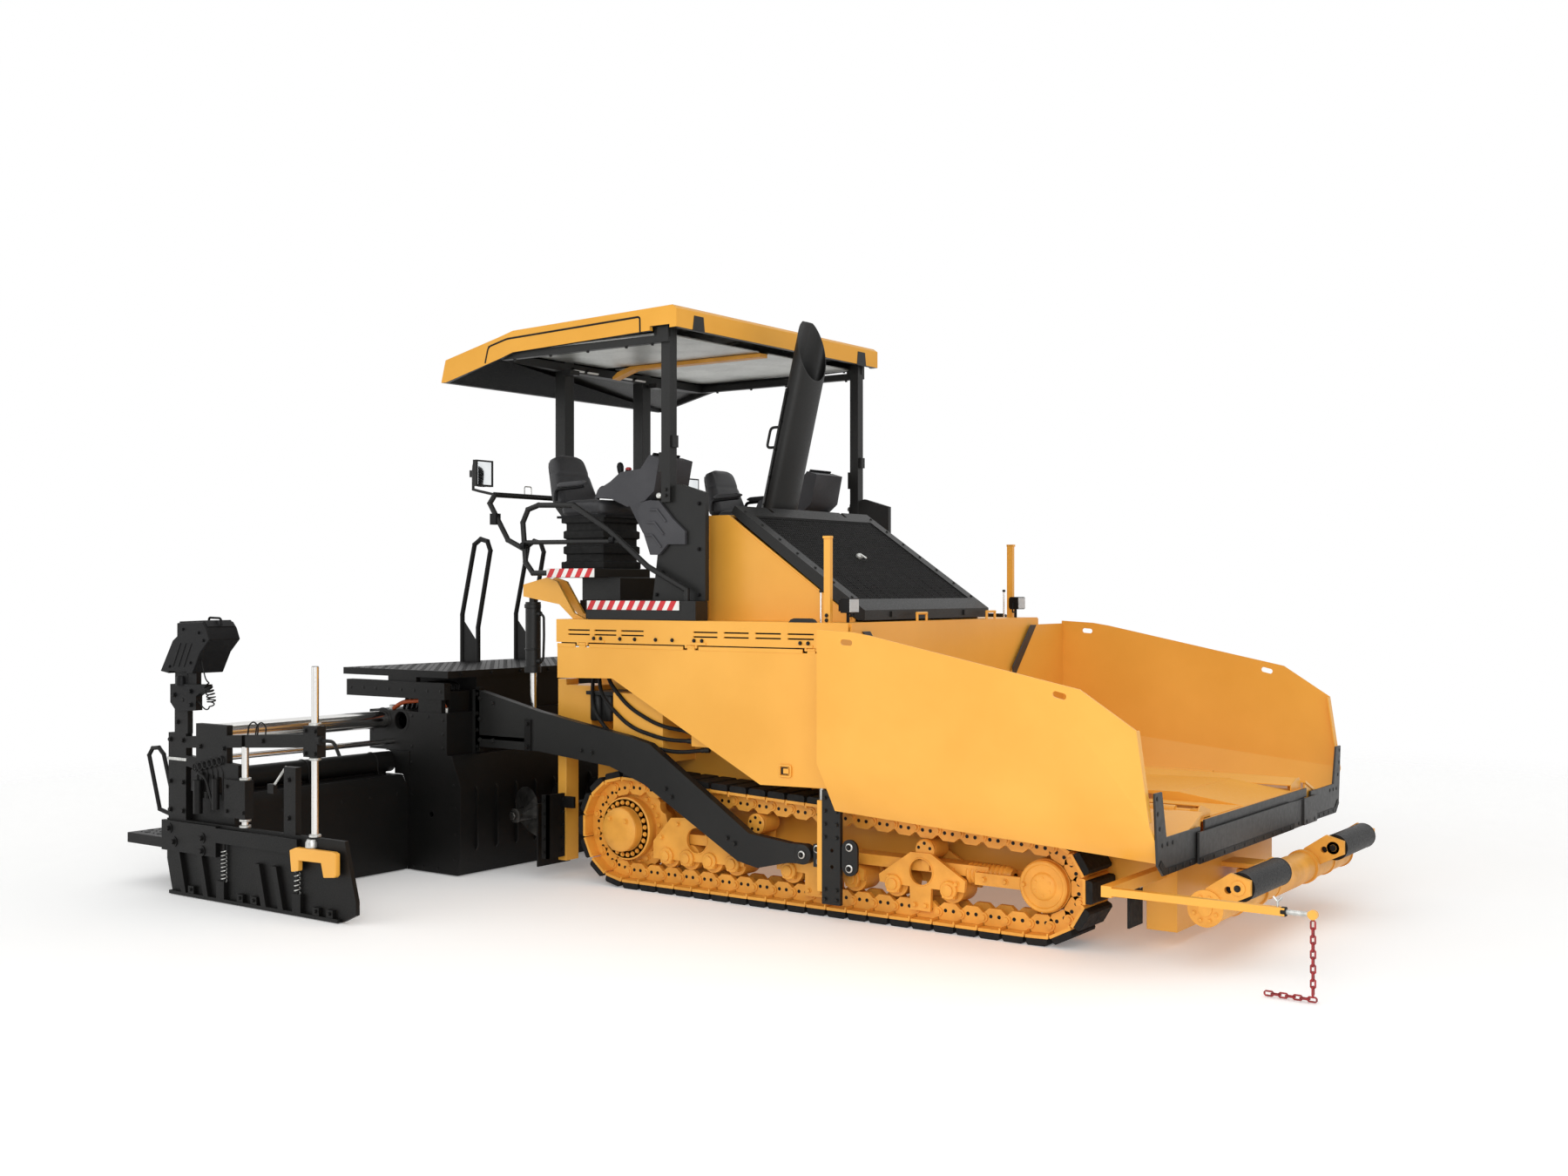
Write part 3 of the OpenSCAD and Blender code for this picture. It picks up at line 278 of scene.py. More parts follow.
def roof_enamel():
    # The roof's shell: the same yellow enamel outside, while faces that look inward are sprayed charcoal.
    material = mottled("yellow_enamel_roof_shell", "F2B148", "EAA83F", 700, 16, (0.42, 0.52), 1.0, 0.12,
                       {"Specular IOR Level": 0.2})
    tree = material.node_tree
    shader = tree.nodes["Principled BSDF"]
    tone = shader.inputs["Base Color"].links[0].from_socket
    surface = add(tree, "ShaderNodeNewGeometry", {}, {})
    away = add(tree, "ShaderNodeVectorMath", {"operation": "SUBTRACT"},
               {0: surface.outputs["Position"], 1: (-1.45, 0.0, ROOF_TOP - 0.7)})
    facing = add(tree, "ShaderNodeVectorMath", {"operation": "DOT_PRODUCT"},
                 {0: surface.outputs["True Normal"], 1: away.outputs[0]})
    inner = add(tree, "ShaderNodeMath", {"operation": "LESS_THAN"}, {0: facing.outputs["Value"], 1: 0.0})
    both = add(tree, "ShaderNodeMix", {"data_type": "RGBA"},
               {0: inner.outputs[0], 6: tone, 7: linear("222221")})
    tree.links.new(both.outputs[2], shader.inputs["Base Color"])
    return material


def cast_yellow():
    # The same enamel over rough castings and forgings: duller, with the sand-cast skin showing through.
    return mottled("yellow_enamel_on_castings", "EFAA42", "DA9735", 180, 22, (0.4, 0.58), 3.0, 0.3,
                   {"IOR": 1.5})


def charcoal_powder():
    # Powder coat on welded steel: charcoal, with the fine pebble of the fused powder, drawn at 9 mm.
    return mottled("charcoal_powder_coat", "1D1D1C", "171716", 420, 9, (0.38, 0.54), 1.2, 0.22,
                   {"Specular IOR Level": 0.3})


def black_powder():
    # Powder coat on the screed's plates and the push rollers: nearer black, with a pebble drawn at 10 mm.
    return mottled("black_powder_coat", "100F0E", "0B0B0A", 300, 10, (0.4, 0.58), 1.4, 0.25,
                   {"Specular IOR Level": 0.22})


def grey_abs():
    # Moulded ABS: dark grey with a leather grain from the mould, drawn at 12 mm.
    return mottled("grey_abs_moulded", "454548", "3C3C3F", 350, 12, (0.46, 0.6), 1.5, 0.25,
                   {"Specular IOR Level": 0.3})


def dark_abs():
    # Moulded ABS of the remote boxes and lamp bodies: darker, a little glossier.
    return mottled("dark_abs_moulded", "131314", "0E0E0F", 220, 10, (0.38, 0.5), 1.2, 0.2,
                   {"Specular IOR Level": 0.16})


def moulded_rubber():
    # Vulcanised rubber: matt black, bloomed a little grey, with scuffs about 30 mm across.
    return mottled("rubber_vulcanised", "181817", "111111", 90, 30, (0.6, 0.8), 2.0, 0.08,
                   {"Specular IOR Level": 0.25})


def sheet_rubber():
    # Calendered rubber sheet of the flaps: smooth, dark grey, with a soft shine and hardly any grain.
    return mottled("rubber_sheet_calendered", "252524", "222221", 260, 30, (0.42, 0.52), 1.0, 0.04)


def worn_steel():
    # Wear steel of the augers and slats: rolled, dark oxide with rubbed bright patches.
    return mottled("wear_steel_rolled", "4C4A47", "2E2D2B", 110, 14, (0.34, 0.56), 1.2, 0.3,
                   {"Metallic": 0.85})


def cast_iron():
    # Grey iron of the engine, painted thinly: rough sand-cast skin.
    return mottled("engine_iron_cast", "5A5A57", "434341", 120, 14, (0.55, 0.75), 2.5, 0.4)


def hard_chrome():
    # Hard chrome ground on the tubes and rods: bright, with faint rings left by grinding, drawn 6 mm apart.
    material, tree, shader, place = begin("hard_chrome_ground")
    stretch = add(tree, "ShaderNodeMapping", {}, {"Vector": place, "Scale": (6.0, 160.0, 160.0)})
    rings = add(tree, "ShaderNodeTexNoise", {}, {"Vector": stretch.outputs[0], "Scale": 1.0, "Detail": 2.0})
    gloss = add(tree, "ShaderNodeMapRange", {}, {0: rings.outputs[0], 3: 0.1, 4: 0.28})
    shader.inputs["Base Color"].default_value = linear("DEDDDA")
    shader.inputs["Metallic"].default_value = 1.0
    tree.links.new(gloss.outputs[0], shader.inputs["Roughness"])
    return material


def zinc_plate():
    # Zinc plate on fasteners and clamps: pale, slightly blue, softly crystalline.
    return mottled("zinc_plate_bright", "D6D6D2", "B4B4B0", 40, 8, (0.24, 0.42), 0.6, 0.15,
                   {"Metallic": 0.75})


def liner_sheet():
    # Foil-faced lining, embossed: pale grey, reflecting softly, with dimples drawn at 25 mm.
    return mottled("foil_lining_embossed", "BFC0BB", "ABACA7", 260, 25, (0.34, 0.48), 3.0, 0.3,
                   {"Metallic": 0.8})


def seat_vinyl():
    # Embossed vinyl on foam: near black, with a leather grain drawn at 10 mm and a soft sheen.
    material, tree, shader, place = begin("seat_vinyl_embossed")
    pebble = add(tree, "ShaderNodeTexVoronoi", {"feature": "F1"}, {"Vector": place, "Scale": 1000 / 10})
    tone = add(tree, "ShaderNodeMix", {"data_type": "RGBA"},
               {0: pebble.outputs[0], 6: linear("1E1E20"), 7: linear("2A2A2D")})
    relief = add(tree, "ShaderNodeBump", {},
                 {"Strength": 0.3, "Distance": 0.0015, "Height": pebble.outputs[0]})
    tree.links.new(tone.outputs[2], shader.inputs["Base Color"])
    tree.links.new(relief.outputs[0], shader.inputs["Normal"])
    shader.inputs["Roughness"].default_value = 0.55
    shader.inputs["Sheen Weight"].default_value = 0.12
    return material


def red_enamel():
    # Brushed enamel on chain and knobs: deep red with worn, darker patches.
    return mottled("red_enamel_brushed", "A8282B", "7E1B1F", 30, 8, (0.35, 0.5), 0.8, 0.2)


def stripe_red():
    # Reflective sheeting, red: smooth film with a faint cell pattern.
    return mottled("red_reflective_sheeting", "D2232A", "C01D25", 200, 12, (0.3, 0.4), 0.3, 0.1)


def stripe_white():
    # Reflective sheeting, white.
    return mottled("white_reflective_sheeting", "F4F3EF", "E7E6E2", 200, 12, (0.3, 0.4), 0.3, 0.1)


def braided_hose():
    # Orange braided sleeve over a hose: a woven, mottled orange, drawn at 9 mm.
    material, tree, shader, place = begin("orange_sleeve_braided")
    weave = add(tree, "ShaderNodeTexNoise", {}, {"Vector": place, "Scale": 1000 / 9, "Detail": 2.0})
    tone = add(tree, "ShaderNodeMix", {"data_type": "RGBA"},
               {0: weave.outputs[0], 6: linear("D2622C"), 7: linear("8F3A18")})
    tree.links.new(tone.outputs[2], shader.inputs["Base Color"])
    shader.inputs["Roughness"].default_value = 0.6
    return material


def clear_lens():
    # Clear polycarbonate over the lamps: smooth and slightly cloudy.
    return mottled("polycarbonate_lens_clear", "F2F5F6", "E3E8EA", 60, 10, (0.06, 0.12), 0.2, 0.05,
                   {"Transmission Weight": 0.55, "IOR": 1.58})


def mirror_glass():
    # Silvered convex glass: clean, with a faint film of dust in its gloss.
    return mottled("mirror_glass_silvered", "EDF0F1", "E2E6E8", 80, 12, (0.02, 0.06), 0.1, 0.03,
                   {"Metallic": 1.0})


def screen_glass():
    # Dark cover glass of the displays, switched off.
    return mottled("display_glass_dark", "14181B", "0F1214", 90, 12, (0.05, 0.1), 0.1, 0.03,
                   {"Coat Weight": 0.6})


YELLOW = yellow_enamel()
ROOF = roof_enamel()
CASTING = cast_yellow()
CHARCOAL = charcoal_powder()
BLACK = black_powder()
GREY = grey_abs()
DARK = dark_abs()
RUBBER = moulded_rubber()
SHEET = sheet_rubber()
STEEL = worn_steel()
IRON = cast_iron()
CHROME = hard_chrome()
ZINC = zinc_plate()
LINER = liner_sheet()
VINYL = seat_vinyl()
RED = red_enamel()
STRIPE_RED = stripe_red()
STRIPE_WHITE = stripe_white()
HOSE = braided_hose()
LENS = clear_lens()
MIRROR = mirror_glass()
SCREEN = screen_glass()

# Each solid's finish and how far its edges are rounded
NODE_FINISH = {
    YELLOW: {"chassis": 0.005, "deck": 0.004, "hopper_floor": 0.003, "engine_housing": 0.004,
             "wing_right": 0.004, "wing_left": 0.004, "side_door_right": 0.004,
             "side_door_left": 0.004, "guide_rod": 0.003},
    ROOF: {"canopy_roof": 0.014},
    CASTING: {"track_frames": 0.006, "track_rollers": 0.006, "sprockets": 0.006, "push_beam": 0.005,
              "conveyor_slats": 0.003},
    CHARCOAL: {"tow_guides": 0.004, "engine_hood": 0.007, "exhaust_stack": 0.0, "canopy_posts": 0.005,
               "guard_rails": 0.0, "tow_arms": 0.004, "operator_floor": 0.006, "lift_barrels": 0.003},
    BLACK: {"push_roller_right": 0.005, "push_roller_left": 0.005, "auger_mount": 0.004,
            "screed_body": 0.005, "screed_walkway": 0.004, "extender_right": 0.005,
            "extender_left": 0.005, "end_gate_right": 0.004, "end_gate_left": 0.004},
    GREY: {"consoles": 0.016},
    DARK: {"screed_console_right": 0.012, "screed_console_left": 0.012, "work_lamps": 0.006},
    RUBBER: {"seat_bases": 0.012},
    SHEET: {"front_apron": 0.004, "wing_flap_right": 0.004, "wing_flap_left": 0.004},
    STEEL: {"auger_right": 0.0, "auger_left": 0.0},
    CHROME: {"extender_tubes_right": 0.003, "extender_tubes_left": 0.003, "gate_jacks_right": 0.003,
             "gate_jacks_left": 0.003, "lift_rods": 0.003},
    LINER: {"canopy_liner": 0.003},
    IRON: {"engine_block": 0.01},
    RED: {"guide_chain": 0.002},
}


def dress_solids():
    """Gives each solid its finish and its rounded edges"""
    for finish, nodes in NODE_FINISH.items():
        for name, edge in nodes.items():
            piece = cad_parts[name]
            if not piece.material_slots:
                piece.data.materials.append(None)
            for held in piece.material_slots:
                held.link = "OBJECT"
                held.material = finish
            if edge:
                soften(piece, edge)


# Tracks

PATH_D = PAD_T + SHOE_T
REAR_R, FRONT_R = SPROCKET_R - PATH_D, IDLER_R - PATH_D
RUN = IDLER_X - SPROCKET_X
TILT = 2 * math.atan((SPROCKET_R - IDLER_R) / RUN)
ARC_FRONT = FRONT_R * (math.pi - TILT)
ARC_REAR = REAR_R * (math.pi + TILT)
PITCH = (2 * RUN + ARC_FRONT + ARC_REAR) / SHOES


def chain_point(s):
    """A point of the chain's pitch line, s along it from under the sprocket"""
    if s < RUN:
        return Vector((SPROCKET_X + s, PATH_D))
    s -= RUN
    if s < ARC_FRONT:
        a = s / FRONT_R
        return Vector((IDLER_X + FRONT_R * math.sin(a), IDLER_R - FRONT_R * math.cos(a)))
    s -= ARC_FRONT
    a = math.pi - TILT
    if s < RUN:
        return Vector((IDLER_X + FRONT_R * math.sin(a) + s * math.cos(a),
                       IDLER_R - FRONT_R * math.cos(a) + s * math.sin(a)))
    a += (s - RUN) / REAR_R
    return Vector((SPROCKET_X + REAR_R * math.sin(a), SPROCKET_R - REAR_R * math.cos(a)))


def shoe_place(i, y):
    """Where a point of shoe i lies: u along the shoe, v outward, w across the track"""
    p, q = chain_point(i * PITCH), chain_point((i + 1) % SHOES * PITCH)
    way = (q - p).normalized()
    middle = (p + q) / 2
    return lambda u, v, w: Vector((middle.x + u * way.x + v * way.y, y + w,
                                   middle.y + u * way.y - v * way.x))


def track(side_name, side):
    """Shoe plates, rubber pads, chain links and black discs of painted shade in the bolt holes, shoe by shoe
    round the run
    """
    pads, plates, links, hole_shade = (bmesh.new() for _ in range(4))
    half = PITCH * 0.43
    joint = PITCH / 2
    top, step = PATH_D, 0.011
    pad = [(-half, SHOE_T), (-half, top - step), (-half + step, top), (half - step, top),
           (half, top - step), (half, SHOE_T)]
    plate = [(-half - 0.004, 0.0), (-half - 0.004, SHOE_T), (half + 0.006, SHOE_T), (half + 0.011, 0.004),
             (half + 0.009, -0.014), (half + 0.001, -0.014), (half - 0.001, 0.0)]
    link = [(-joint, -0.024), (-joint * 0.92, -0.078), (-joint * 0.5, -LINK_H), (joint * 0.5, -LINK_H),
            (joint * 0.92, -0.078), (joint, -0.024), (joint * 0.9, -0.001), (-joint * 0.9, -0.001)]
    for i in range(SHOES):
        at = shoe_place(i, side * TRACK_Y)
        prism(pads, pad, -SHOE_W / 2 + 0.004, SHOE_W / 2 - 0.004, at)
        prism(plates, plate, -SHOE_W / 2, SHOE_W / 2, at)
        for rail in (-0.065, 0.065):
            prism(links, link, rail - 0.016, rail + 0.016, at)
            out = math.copysign(0.019, rail)
            rod(links, at(-joint, -0.048, rail - out * 0.5), at(-joint, -0.048, rail + out * 1.25), 0.03, 14)
            rod(links, at(-joint, -0.048, rail + out * 1.2), at(-joint, -0.048, rail + out * 1.7), 0.017, 12)
            # Black discs on the link faces: painted shade standing in for the bolt holes
            for u in (-0.027, 0.027):
                rod(hole_shade, at(u, -0.058, rail + out * 0.6), at(u, -0.058, rail + out * 0.92), 0.0115, 10)
        rod(links, at(-joint, -0.048, -0.064), at(-joint, -0.048, 0.064), 0.026, 12)
    shoes = make("track_plates_" + side_name, plates, CASTING, "tractor")
    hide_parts("track_" + side_name)
    make("track_pads_" + side_name, pads, RUBBER, "tractor")
    make("track_links_" + side_name, links, CASTING, "tractor")
    make("track_link_hole_shade_" + side_name, hole_shade, BLACK, "tractor")


# Running gear

def running_gear(side_name, side):
    """Caps and bolts of rollers, final drive, idler and bogies"""
    caps, dark = bmesh.new(), bmesh.new()
    out = (0, side, 0)
    for x in ROLLERS:
        lathe(caps, (x, side * BOGIE_FACE, ROLLER_Z), out,
              [(0.056, -0.004), (0.056, 0.014), (0.05, 0.02), (0.034, 0.02), (0.034, 0.03), (0.026, 0.034)])
        box(caps, (x - 0.044, side * (BOGIE_FACE - 0.02), 0.2),
            (x + 0.044, side * (BOGIE_FACE + 0.01), ROLLER_Z))
        for u in (-0.03, 0.03):
            bolt(caps, (x + u, side * (BOGIE_FACE + 0.01), 0.212), out, 0.018)
    for x, z in CARRIERS:
        y = TRACK_Y + 0.088
        lathe(caps, (x, side * y, z), out, [(0.066, -0.004), (0.066, 0.01), (0.058, 0.017), (0.02, 0.017)])
        # Five black discs in each carrier cap: painted shade where the cap's holes are
        for k in range(5):
            a = 2 * math.pi * k / 5 + 0.3
            at = Vector((x + 0.041 * math.cos(a), side * (y + 0.012), z + 0.041 * math.sin(a)))
            rod(dark, at, at + Vector((0, side * 0.0062, 0)), 0.0105, 12)
    # Final drive: two rings of bolts and a stepped cover
    hub = (SPROCKET_X, side * (TRACK_Y + 0.18), SPROCKET_R)
    lathe(caps, hub, out, [(0.148, -0.002), (0.148, 0.006), (0.132, 0.02), (0.07, 0.024)], 36)
    lathe(caps, (SPROCKET_X, side * (TRACK_Y + 0.09), SPROCKET_R), out,
          [(0.204, 0.0), (0.214, 0.004), (0.214, 0.024), (0.204, 0.03)], 40)
    bolt_circle(caps, (SPROCKET_X, side * (TRACK_Y + 0.12), SPROCKET_R), side, 0.178, 24, 0.021)
    bolt_circle(caps, (SPROCKET_X, side * (TRACK_Y + 0.032), SPROCKET_R), side, 0.238, 22, 0.028)
    for a in (0.7, 2.3):
        plug = (hub[0] + 0.1 * math.cos(a), hub[1] + side * 0.022, hub[2] + 0.1 * math.sin(a))
        bolt(caps, plug, out, 0.026)
    # Idler hub over its yoke
    yoke = TRACK_Y + 0.11
    lathe(caps, (IDLER_X, side * yoke, IDLER_R), out,
          [(0.15, -0.03), (0.15, 0.004), (0.142, 0.011), (0.128, 0.011), (0.121, 0.003), (0.082, 0.003),
           (0.074, 0.012), (0.064, 0.016), (0.03, 0.02)], 40)
    bolt_circle(caps, (IDLER_X, side * (yoke + 0.008), IDLER_R), side, 0.05, 6, 0.018)
    for x, z in [(1.84, 0.336), (1.98, 0.336), (2.1, 0.336)]:
        bolt(caps, (x, side * yoke, z), out, 0.024)
    lathe(caps, (IDLER_X, side * (TRACK_Y + 0.07), IDLER_R), out,
          [(0.15, 0.0), (0.15, 0.012), (0.142, 0.02), (0.125, 0.02), (0.118, 0.006)], 40)
    # Recoil cylinder between the bogie and the idler, ribbed by its spring
    coil = [(0.048, 0.0)]
    rib = [(0.062, 0.012), (0.066, 0.02), (0.062, 0.028), (0.056, 0.034)]
    for k in range(9):
        coil += [(r, h + 0.03 * k) for r, h in rib]
    lathe(caps, (1.69, side * (TRACK_Y + 0.015), 0.35), (1, 0, 0), coil + [(0.048, 0.3)], 24)
    # Bolts of the bogie plates
    plate_bolts = [(-0.6, 0.37), (-0.46, 0.47), (-0.11, 0.42), (0.03, 0.33), (0.41, 0.295), (0.95, 0.3),
                   (0.6, 0.14), (0.685, 0.14), (0.6, 0.4), (0.68, 0.4), (1.19, 0.29), (1.66, 0.29),
                   (1.375, 0.14), (1.45, 0.14)]
    for x, z in plate_bolts:
        bolt(caps, (x, side * BOGIE_FACE, z), out, 0.024)
    # Rims of the round windows in the bogies
    for x, z, r in [(-0.3, 0.373, 0.088), (1.415, 0.338, 0.082)]:
        ring = [(r * math.cos(a), r * math.sin(a)) for a in (2 * math.pi * k / 36 for k in range(37))]
        tube(caps, [(x + u, side * BOGIE_FACE, z + v) for u, v in ring], 0.005, 8)
    make("running_gear_caps_" + side_name, caps, CASTING, "tractor")
    make("carrier_hole_shade_" + side_name, dark, BLACK, "tractor")


# Tow points

def tow_point(side_name, side):
    """Stop plate, scale bar, levelling rod, rings and bolts where the tow arm is held"""
    bright, dark, yellow = bmesh.new(), bmesh.new(), bmesh.new()
    out = (0, side, 0)
    plate = ARM_OUT + 0.035
    rings = [(0.65, ARM_OUT + 0.012, 0.389), (0.755, ARM_OUT - 0.005, 0.432), (0.775, ARM_OUT - 0.005, 0.356)]
    pill_x, pill_z = 1.015, (0.34, 0.47)
    rings += [(pill_x, plate - 0.004, z) for z in pill_z]
    for x, y, z in rings:
        lathe(bright, (x, side * y, z), out, [(0.025, 0.0), (0.025, 0.006), (0.021, 0.009)], 20)
        bolt(dark, (x, side * (y + 0.008), z), out, 0.022)
    # Pill-shaped stop plate on its two bolts
    half = 0.056
    arc = [(math.cos(math.pi * k / 10), math.sin(math.pi * k / 10)) for k in range(11)]
    pill = [(pill_x + half * c, 0.46 + half * s) for c, s in arc]
    pill += [(pill_x - half * c, 0.35 - half * s) for c, s in arc]
    prism(dark, pill, side * (plate - 0.022), side * (plate - 0.004))
    box(dark, (0.94, side * (plate - 0.03), 0.33), (pill_x, side * (plate - 0.02), 0.48))
    # Yellow scale bar beside the guide plate, and the bright rod of the levelling cylinder
    box(yellow, (0.776, side * (plate - 0.026), 0.18), (0.816, side * (plate - 0.004), 0.74))
    rod(bright, (0.77, side * (ARM_OUT - 0.04), 0.462), (0.77, side * (ARM_OUT - 0.04), 0.895), 0.0188, 20)
    for z in (0.14, 0.2, 0.52, 0.6, 0.68, 0.76):
        for x in (0.84, 0.925):
            bolt(dark, (x, side * plate, z), out, 0.02)
    make("tow_point_rings_" + side_name, bright, ZINC, "tractor")
    make("tow_point_plates_" + side_name, dark, CHARCOAL, "tractor")
    make("tow_point_scale_" + side_name, yellow, YELLOW, "tractor", 0.004)


def tow_arm_bolts(side_name, side):
    """Bolts along the tow arm and the boss at its front pin"""
    bm = bmesh.new()
    spots = [(-2.18, 1.25), (-2.18, 1.1), (-2.18, 0.95), (-2.05, 1.22), (-2.05, 0.95), (-1.2, 0.93),
             (-1.1, 0.92), (-0.45, 0.72), (-0.4, 0.67), (0.06, 0.44), (0.12, 0.41)]
    for x, z in spots:
        bolt(bm, (x, side * ARM_OUT, z), (0, side, 0), 0.024)
    boss = [(0.062, 0.0), (0.062, 0.006), (0.052, 0.01), (0.034, 0.01)]
    lathe(bm, (0.65, side * ARM_OUT, 0.389), (0, side, 0), boss, 28)
    make("tow_arm_bolts_" + side_name, bm, CHARCOAL, "screed")


# Side doors and deck

def door_fittings(side_name, side):
    """Drip strips along the top edge and the paddle latch"""
    yellow, dark = bmesh.new(), bmesh.new()
    face = BODY_HALF
    for x0, x1 in [(-1.4, -1.235), (-1.105, -0.285), (-0.155, 0.665), (0.795, 0.985)]:
        box(yellow, (x0, side * (face - 0.012), 1.638), (x1, side * (face - 0.001), 1.664))
    # Paddle latch in its raised frame
    x, z, w, h = 0.538, 0.903, 0.042, 0.034
    rim = [(-w, -h), (w, -h), (w, h), (-w, h), (-w, -h)]
    tube(yellow, bent([(x + u, side * (face + 0.003), z + v) for u, v in rim], 0.012), 0.007, 8)
    box(dark, (x - 0.03, side * face, z - 0.022), (x + 0.018, side * (face + 0.004), z + 0.022))
    box(yellow, (x - 0.012, side * face, z - 0.016), (x + 0.03, side * (face + 0.009), z + 0.016))
    make("door_strips_" + side_name, yellow, YELLOW, "door_" + side_name, 0.002)
    make("door_latch_" + side_name, dark, BLACK, "door_" + side_name)


def deck_fittings(side_name, side):
    """A black sheet of painted shade behind the louvres, bolts and hinge leaves, the black hand grip and the
    post's bright rod
    """
    dark, yellow, bright, gauze = (bmesh.new() for _ in range(4))
    for x in (-1.06, -0.997, -0.825, -0.695, -0.514, -0.373, -0.19, -0.125, 0.65, 0.709):
        bolt(dark, (x, side * BODY_HALF, 1.702), (0, side, 0), 0.017)
    for x in (-1.03, -0.158, 0.68):
        box(yellow, (x - 0.065, side * (BODY_HALF - 0.004), 1.673),
            (x + 0.065, side * (BODY_HALF + 0.003), 1.69))
    grip = [(0.56, DECK_Z), (0.575, DECK_Z + 0.018), (0.6, DECK_Z + 0.026), (0.72, DECK_Z + 0.026),
            (0.745, DECK_Z + 0.018), (0.76, DECK_Z)]
    prism(dark, grip, side * (BODY_HALF - 0.03), side * (BODY_HALF - 0.002))
    x, y = 0.758, side * (BODY_HALF - 0.07)
    rod(bright, (x, y, DECK_Z), (x, y, 2.02), 0.006, 12)
    lathe(dark, (x, y, 2.015), (0, 0, 1), [(0.009, 0.0), (0.012, 0.008), (0.009, 0.018)], 14)
    # Cap and bolts of the guidance post
    post_y = BODY_HALF - 0.065
    box(yellow, (0.786, side * (post_y - 0.019), 2.35), (0.84, side * (post_y + 0.019), 2.366))
    for z in (1.845, 1.875):
        bolt(dark, (0.813, side * (post_y + 0.015), z), (0, side, 0), 0.016)
    # Black sheet on its stays inside the louvres: painted shade for the dark space behind them
    box(gauze, (-1.39, side * (BODY_HALF - 0.042), 1.645), (0.95, side * (BODY_HALF - 0.034), 1.797))
    for k in range(13):
        x = -1.35 + 0.185 * k
        box(gauze, (x, side * (BODY_HALF - 0.036), 1.65), (x + 0.012, side * (BODY_HALF - 0.03), 1.79))
    make("louvre_shade_sheet_" + side_name, gauze, BLACK, "tractor")
    make("deck_bolts_" + side_name, dark, CHARCOAL, "tractor")
    make("deck_leaves_" + side_name, yellow, YELLOW, "tractor", 0.002)
    make("post_rods_" + side_name, bright, CHROME, "tractor")


def hoses_behind_door(side_name, side):
    """Hydraulic hoses and fittings that show under the slanted door edge"""
    hoses, ends = bmesh.new(), bmesh.new()
    runs = [
        [(-1.31, 0.9, 1.52), (-1.3, 1.02, 1.42), (-1.22, 1.12, 1.22), (-1.02, 1.162, 1.04),
         (-0.7, 1.162, 0.98), (-0.42, 1.16, 0.95), (-0.2, 1.1, 0.98)],
        [(-1.26, 0.9, 1.56), (-1.22, 1.05, 1.48), (-1.1, 1.162, 1.3), (-0.84, 1.162, 1.1),
         (-0.52, 1.162, 1.03), (-0.3, 1.12, 1.03)],
        [(-1.2, 0.9, 1.6), (-1.14, 1.05, 1.55), (-1.04, 1.162, 1.42), (-0.86, 1.162, 1.24),
         (-0.58, 1.162, 1.12), (-0.3, 1.14, 1.09)],
        [(-0.42, 0.9, 1.4), (-0.38, 1.05, 1.36), (-0.2, 1.162, 1.12), (0.06, 1.162, 0.97),
         (0.3, 1.16, 0.94), (0.42, 1.05, 0.97)],
    ]
    for run in runs:
        line = bent([(x, side * y, z) for x, y, z in run], 0.12, 6)
        tube(hoses, line, 0.0135, 10)
        for a, b in ((line[0], line[1]), (line[-1], line[-2])):
            way = (b - a).normalized()
            lathe(ends, a, way, [(0.021, 0.0), (0.021, 0.03), (0.017, 0.034), (0.017, 0.06)], 12)
    # Bracket rail with two filters between the rear post and the tank
    can = [(0.05, 0.0), (0.055, 0.01), (0.055, 0.16), (0.045, 0.18)]
    for x in (-1.25, -1.14):
        lathe(ends, (x, side * 1.02, 1.12), (0, 0, 1), can, 20)
    box(ends, (-1.32, side * 0.8, 1.3), (-1.06, side * 1.07, 1.325))
    make("hydraulic_hoses_" + side_name, hoses, RUBBER, "tractor")
    make("hose_fittings_" + side_name, ends, CHARCOAL, "tractor")


# Engine hood, housing and stack

HOOD_RISE = (1.905 - 2.59) / (0.92 + 0.1)


def hood_top(x):
    """Height of the hood's sloping top face"""
    return 2.59 + HOOD_RISE * (x + 0.1)


